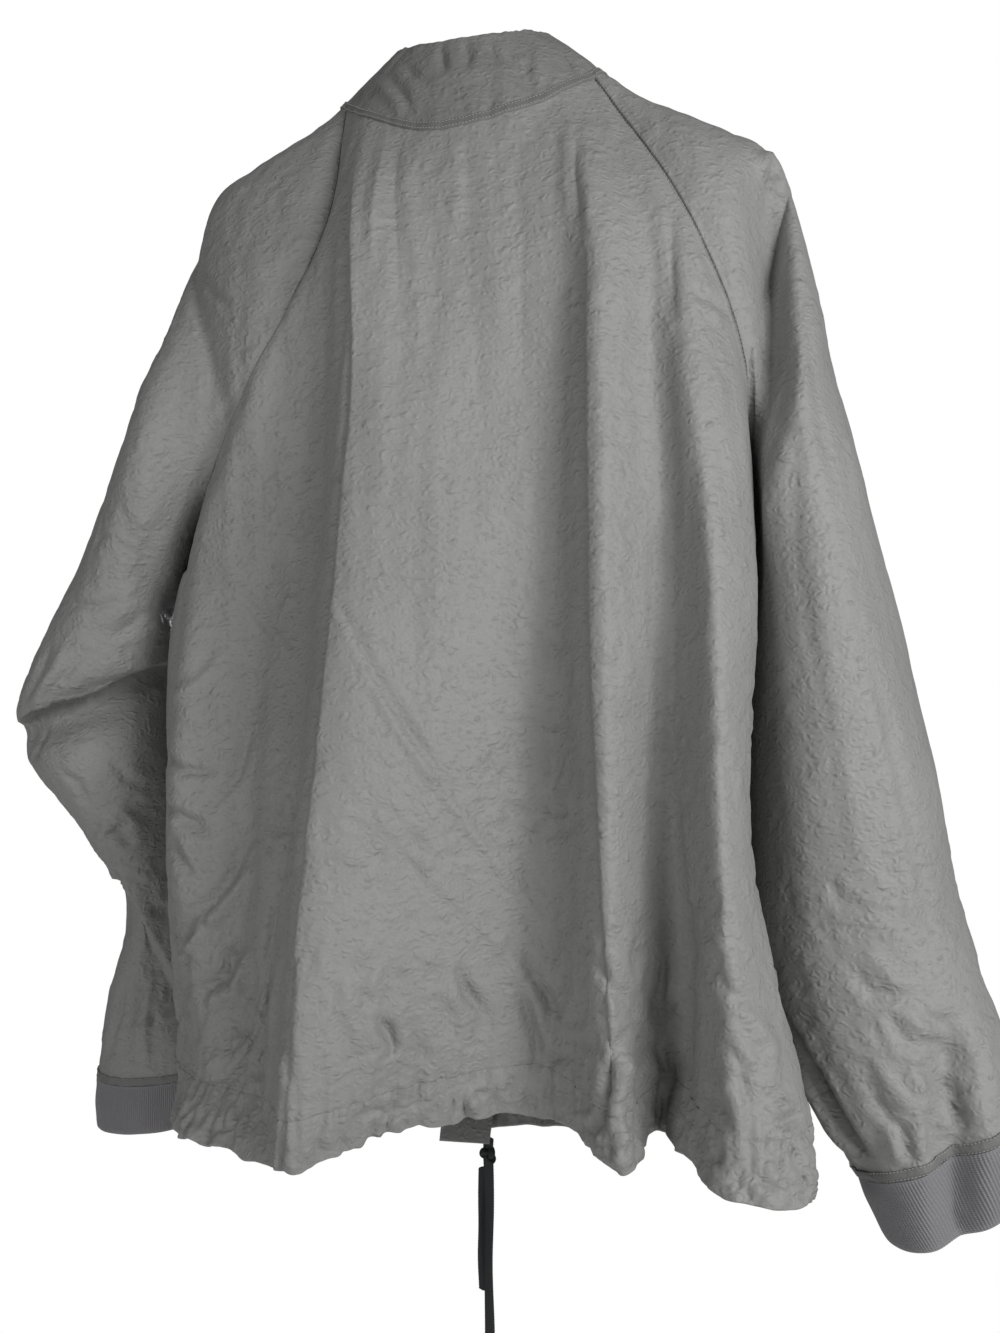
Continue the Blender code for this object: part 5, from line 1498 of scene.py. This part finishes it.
def make_flap(start, middle, outward, across):
    """The inner wind flap behind the zip; its lower corner shows under the hem."""
    part = np.linspace(*FLAP_SIDES, 17)[:, None]
    last = len(middle) - 1
    places = [(r, 0.0) for r in [*range(start, last, 3), last]]
    places += [(last, step) for step in (.2, .4, .6, .8, 1.0)]
    grid = np.array([middle[r] + across[r] * part - outward[r] * FLAP_DEPTH + np.array(FLAP_DROP) * step
                     for r, step in places])
    way = np.broadcast_to(unit(np.cross(np.gradient(grid, axis=1), np.gradient(grid, axis=0))), grid.shape)
    if np.sum(way[:, :, 1]) > 0:
        way = -way
    fade = np.clip(np.linspace(-0.5, 2.4, len(grid)), 0.2, 1)[:, None]
    grid = grid + way * (FLAP_WAVE * fade * noise(grid / FLAP_WAVE_SIZE, 41))[..., None]
    return cover("flap_shell", ("wind_flap",), "nylon", "nylon", grid, way, FLAP_THICK, roll="bottom")


def make_pieces():
    """Every piece of the jacket; gives the pieces of cloth by their names."""
    grids, ways, smooth, smooth_ways, arm = make_cloth()
    cloth = {}
    for name in ("back", "front_left", "front_right", "sleeve_left", "sleeve_right"):
        nodes = (name, name + "_lower") if "sleeve" in name else (name,)
        cloth[name] = cover(name + "_shell", nodes, "nylon", "nylon", grids[name], ways[name], SHELL)
    name = "hem_channel"
    fat = SHELL + HEM_FULL * np.sin(np.linspace(0.05, 0.80, len(grids[name])) * math.pi)
    cloth["hem"] = cover("hem_shell", (name,), "nylon", "nylon", grids[name], ways[name], fat,
                         roll="bottom")
    cloth["collar"] = cover("collar_shell", ("collar",), "collar", "nylon", grids["collar"], ways["collar"],
                            COLLAR_THICK, roll="top")

    cloth["binding"] = sewn_strip("binding_shell", "binding_stitches", "neck_binding",
                                  neck_lines(grids, ways), BINDING_LIFT, (2, 6))
    for side in ("left", "right"):
        name = "sleeve_" + side
        lines = [border_line(grids[name], ways[name], d, "bottom") for d in STRIP_LINES]
        lines = [(line[:-1], way[:-1]) for line, way in lines]
        cloth["strip_" + side] = sewn_strip("strip_" + side, "strip_stitches_" + side, "cuff_strip_" + side,
                                            lines, STRIP_LIFT, (1, 5), closed=True)
        cloth["cuff_" + side] = rib_cuff(side)

    sides = zip_line(smooth, smooth_ways)
    left, right = sides["left"][0], sides["right"][0]
    run = ((left + right) / 2, unit(sides["left"][1] + sides["right"][1]), unit(left - right))
    cloth.update(make_tapes(sides, *run))
    make_teeth(*run)
    make_slider(*run)
    cloth["flap"] = make_flap(len(smooth["collar"]) - 1, *run)

    outside = {n: g + ways[n] * SHELL / 2 for n, g in grids.items()}
    for name, radius, lift, first, last, borders in SEAM_ROWS:
        kept = slice(first, arm if last == "arm" else last)
        rows = [border_line(outside[panel], ways[panel], distance, side)
                for panel, side, distance in borders]
        stitches(name, [(line[kept], way[kept]) for line, way in rows], radius=radius, lift=lift)
    return cloth


def make_cords():
    """Both ends of the drawcord and its knot."""
    long_end, long_path, length = flat_cord("cord_long", [*CORD_NECK, KNOT_CENTRE, *CORD_LONG], twist=0.5)
    short_end, short_path, short_length = flat_cord("cord_short", CORD_SHORT, twist=-0.9)
    tied = knot()
    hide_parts("drawcord_neck", "drawcord_long")
    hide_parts("drawcord_short")
    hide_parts("drawcord_knot")


studio()
LOOKS = {
    "nylon": cloth_material("grey_nylon", (.180, .180, .177), (.215, .215, .211), 0.58, 0.05, 0.5, 0.0006),
    # The collar is the same grey nylon painted darker: painted shade over the whole collar.
    "collar": cloth_material("grey_collar_painted_shade", (.140, .140, .138), (.172, .172, .169), 0.60, 0.05, 0.5, 0.0006),
    "binding": cloth_material("grey_binding", (.105, .105, .103), (.130, .130, .127), 0.62, 0.1, 0.25,
                              0.0006),
    "rib": knit_material("grey_rib_knit", (.118, .115, .121), (.190, .186, .193)),
    "tape": cloth_material("dark_zip_tape", (.020, .020, .020), (.032, .032, .032), 0.8, 0.1, 0.1, 0.0009),
    "teeth": hard_material("dark_zip_teeth", (.016, .016, .017), (.026, .026, .027), 0.42, 0.0, 300.0,
                           0.00003),
    "metal": hard_material("dull_nickel", (.22, .22, .23), (.30, .30, .31), 0.36, 1.0, 500.0, 0.00002,
                           (1, 1, .12)),
    "cord": hard_material("black_cord", (.004, .006, .007), (.012, .014, .015), 0.72, 0.0, 1400.0, 0.00012),
    "thread": hard_material("grey_thread", (.21, .21, .207), (.27, .27, .266), 0.6, 0.0, 1800.0, 0.00006),
}
make_cords()
make_pieces()
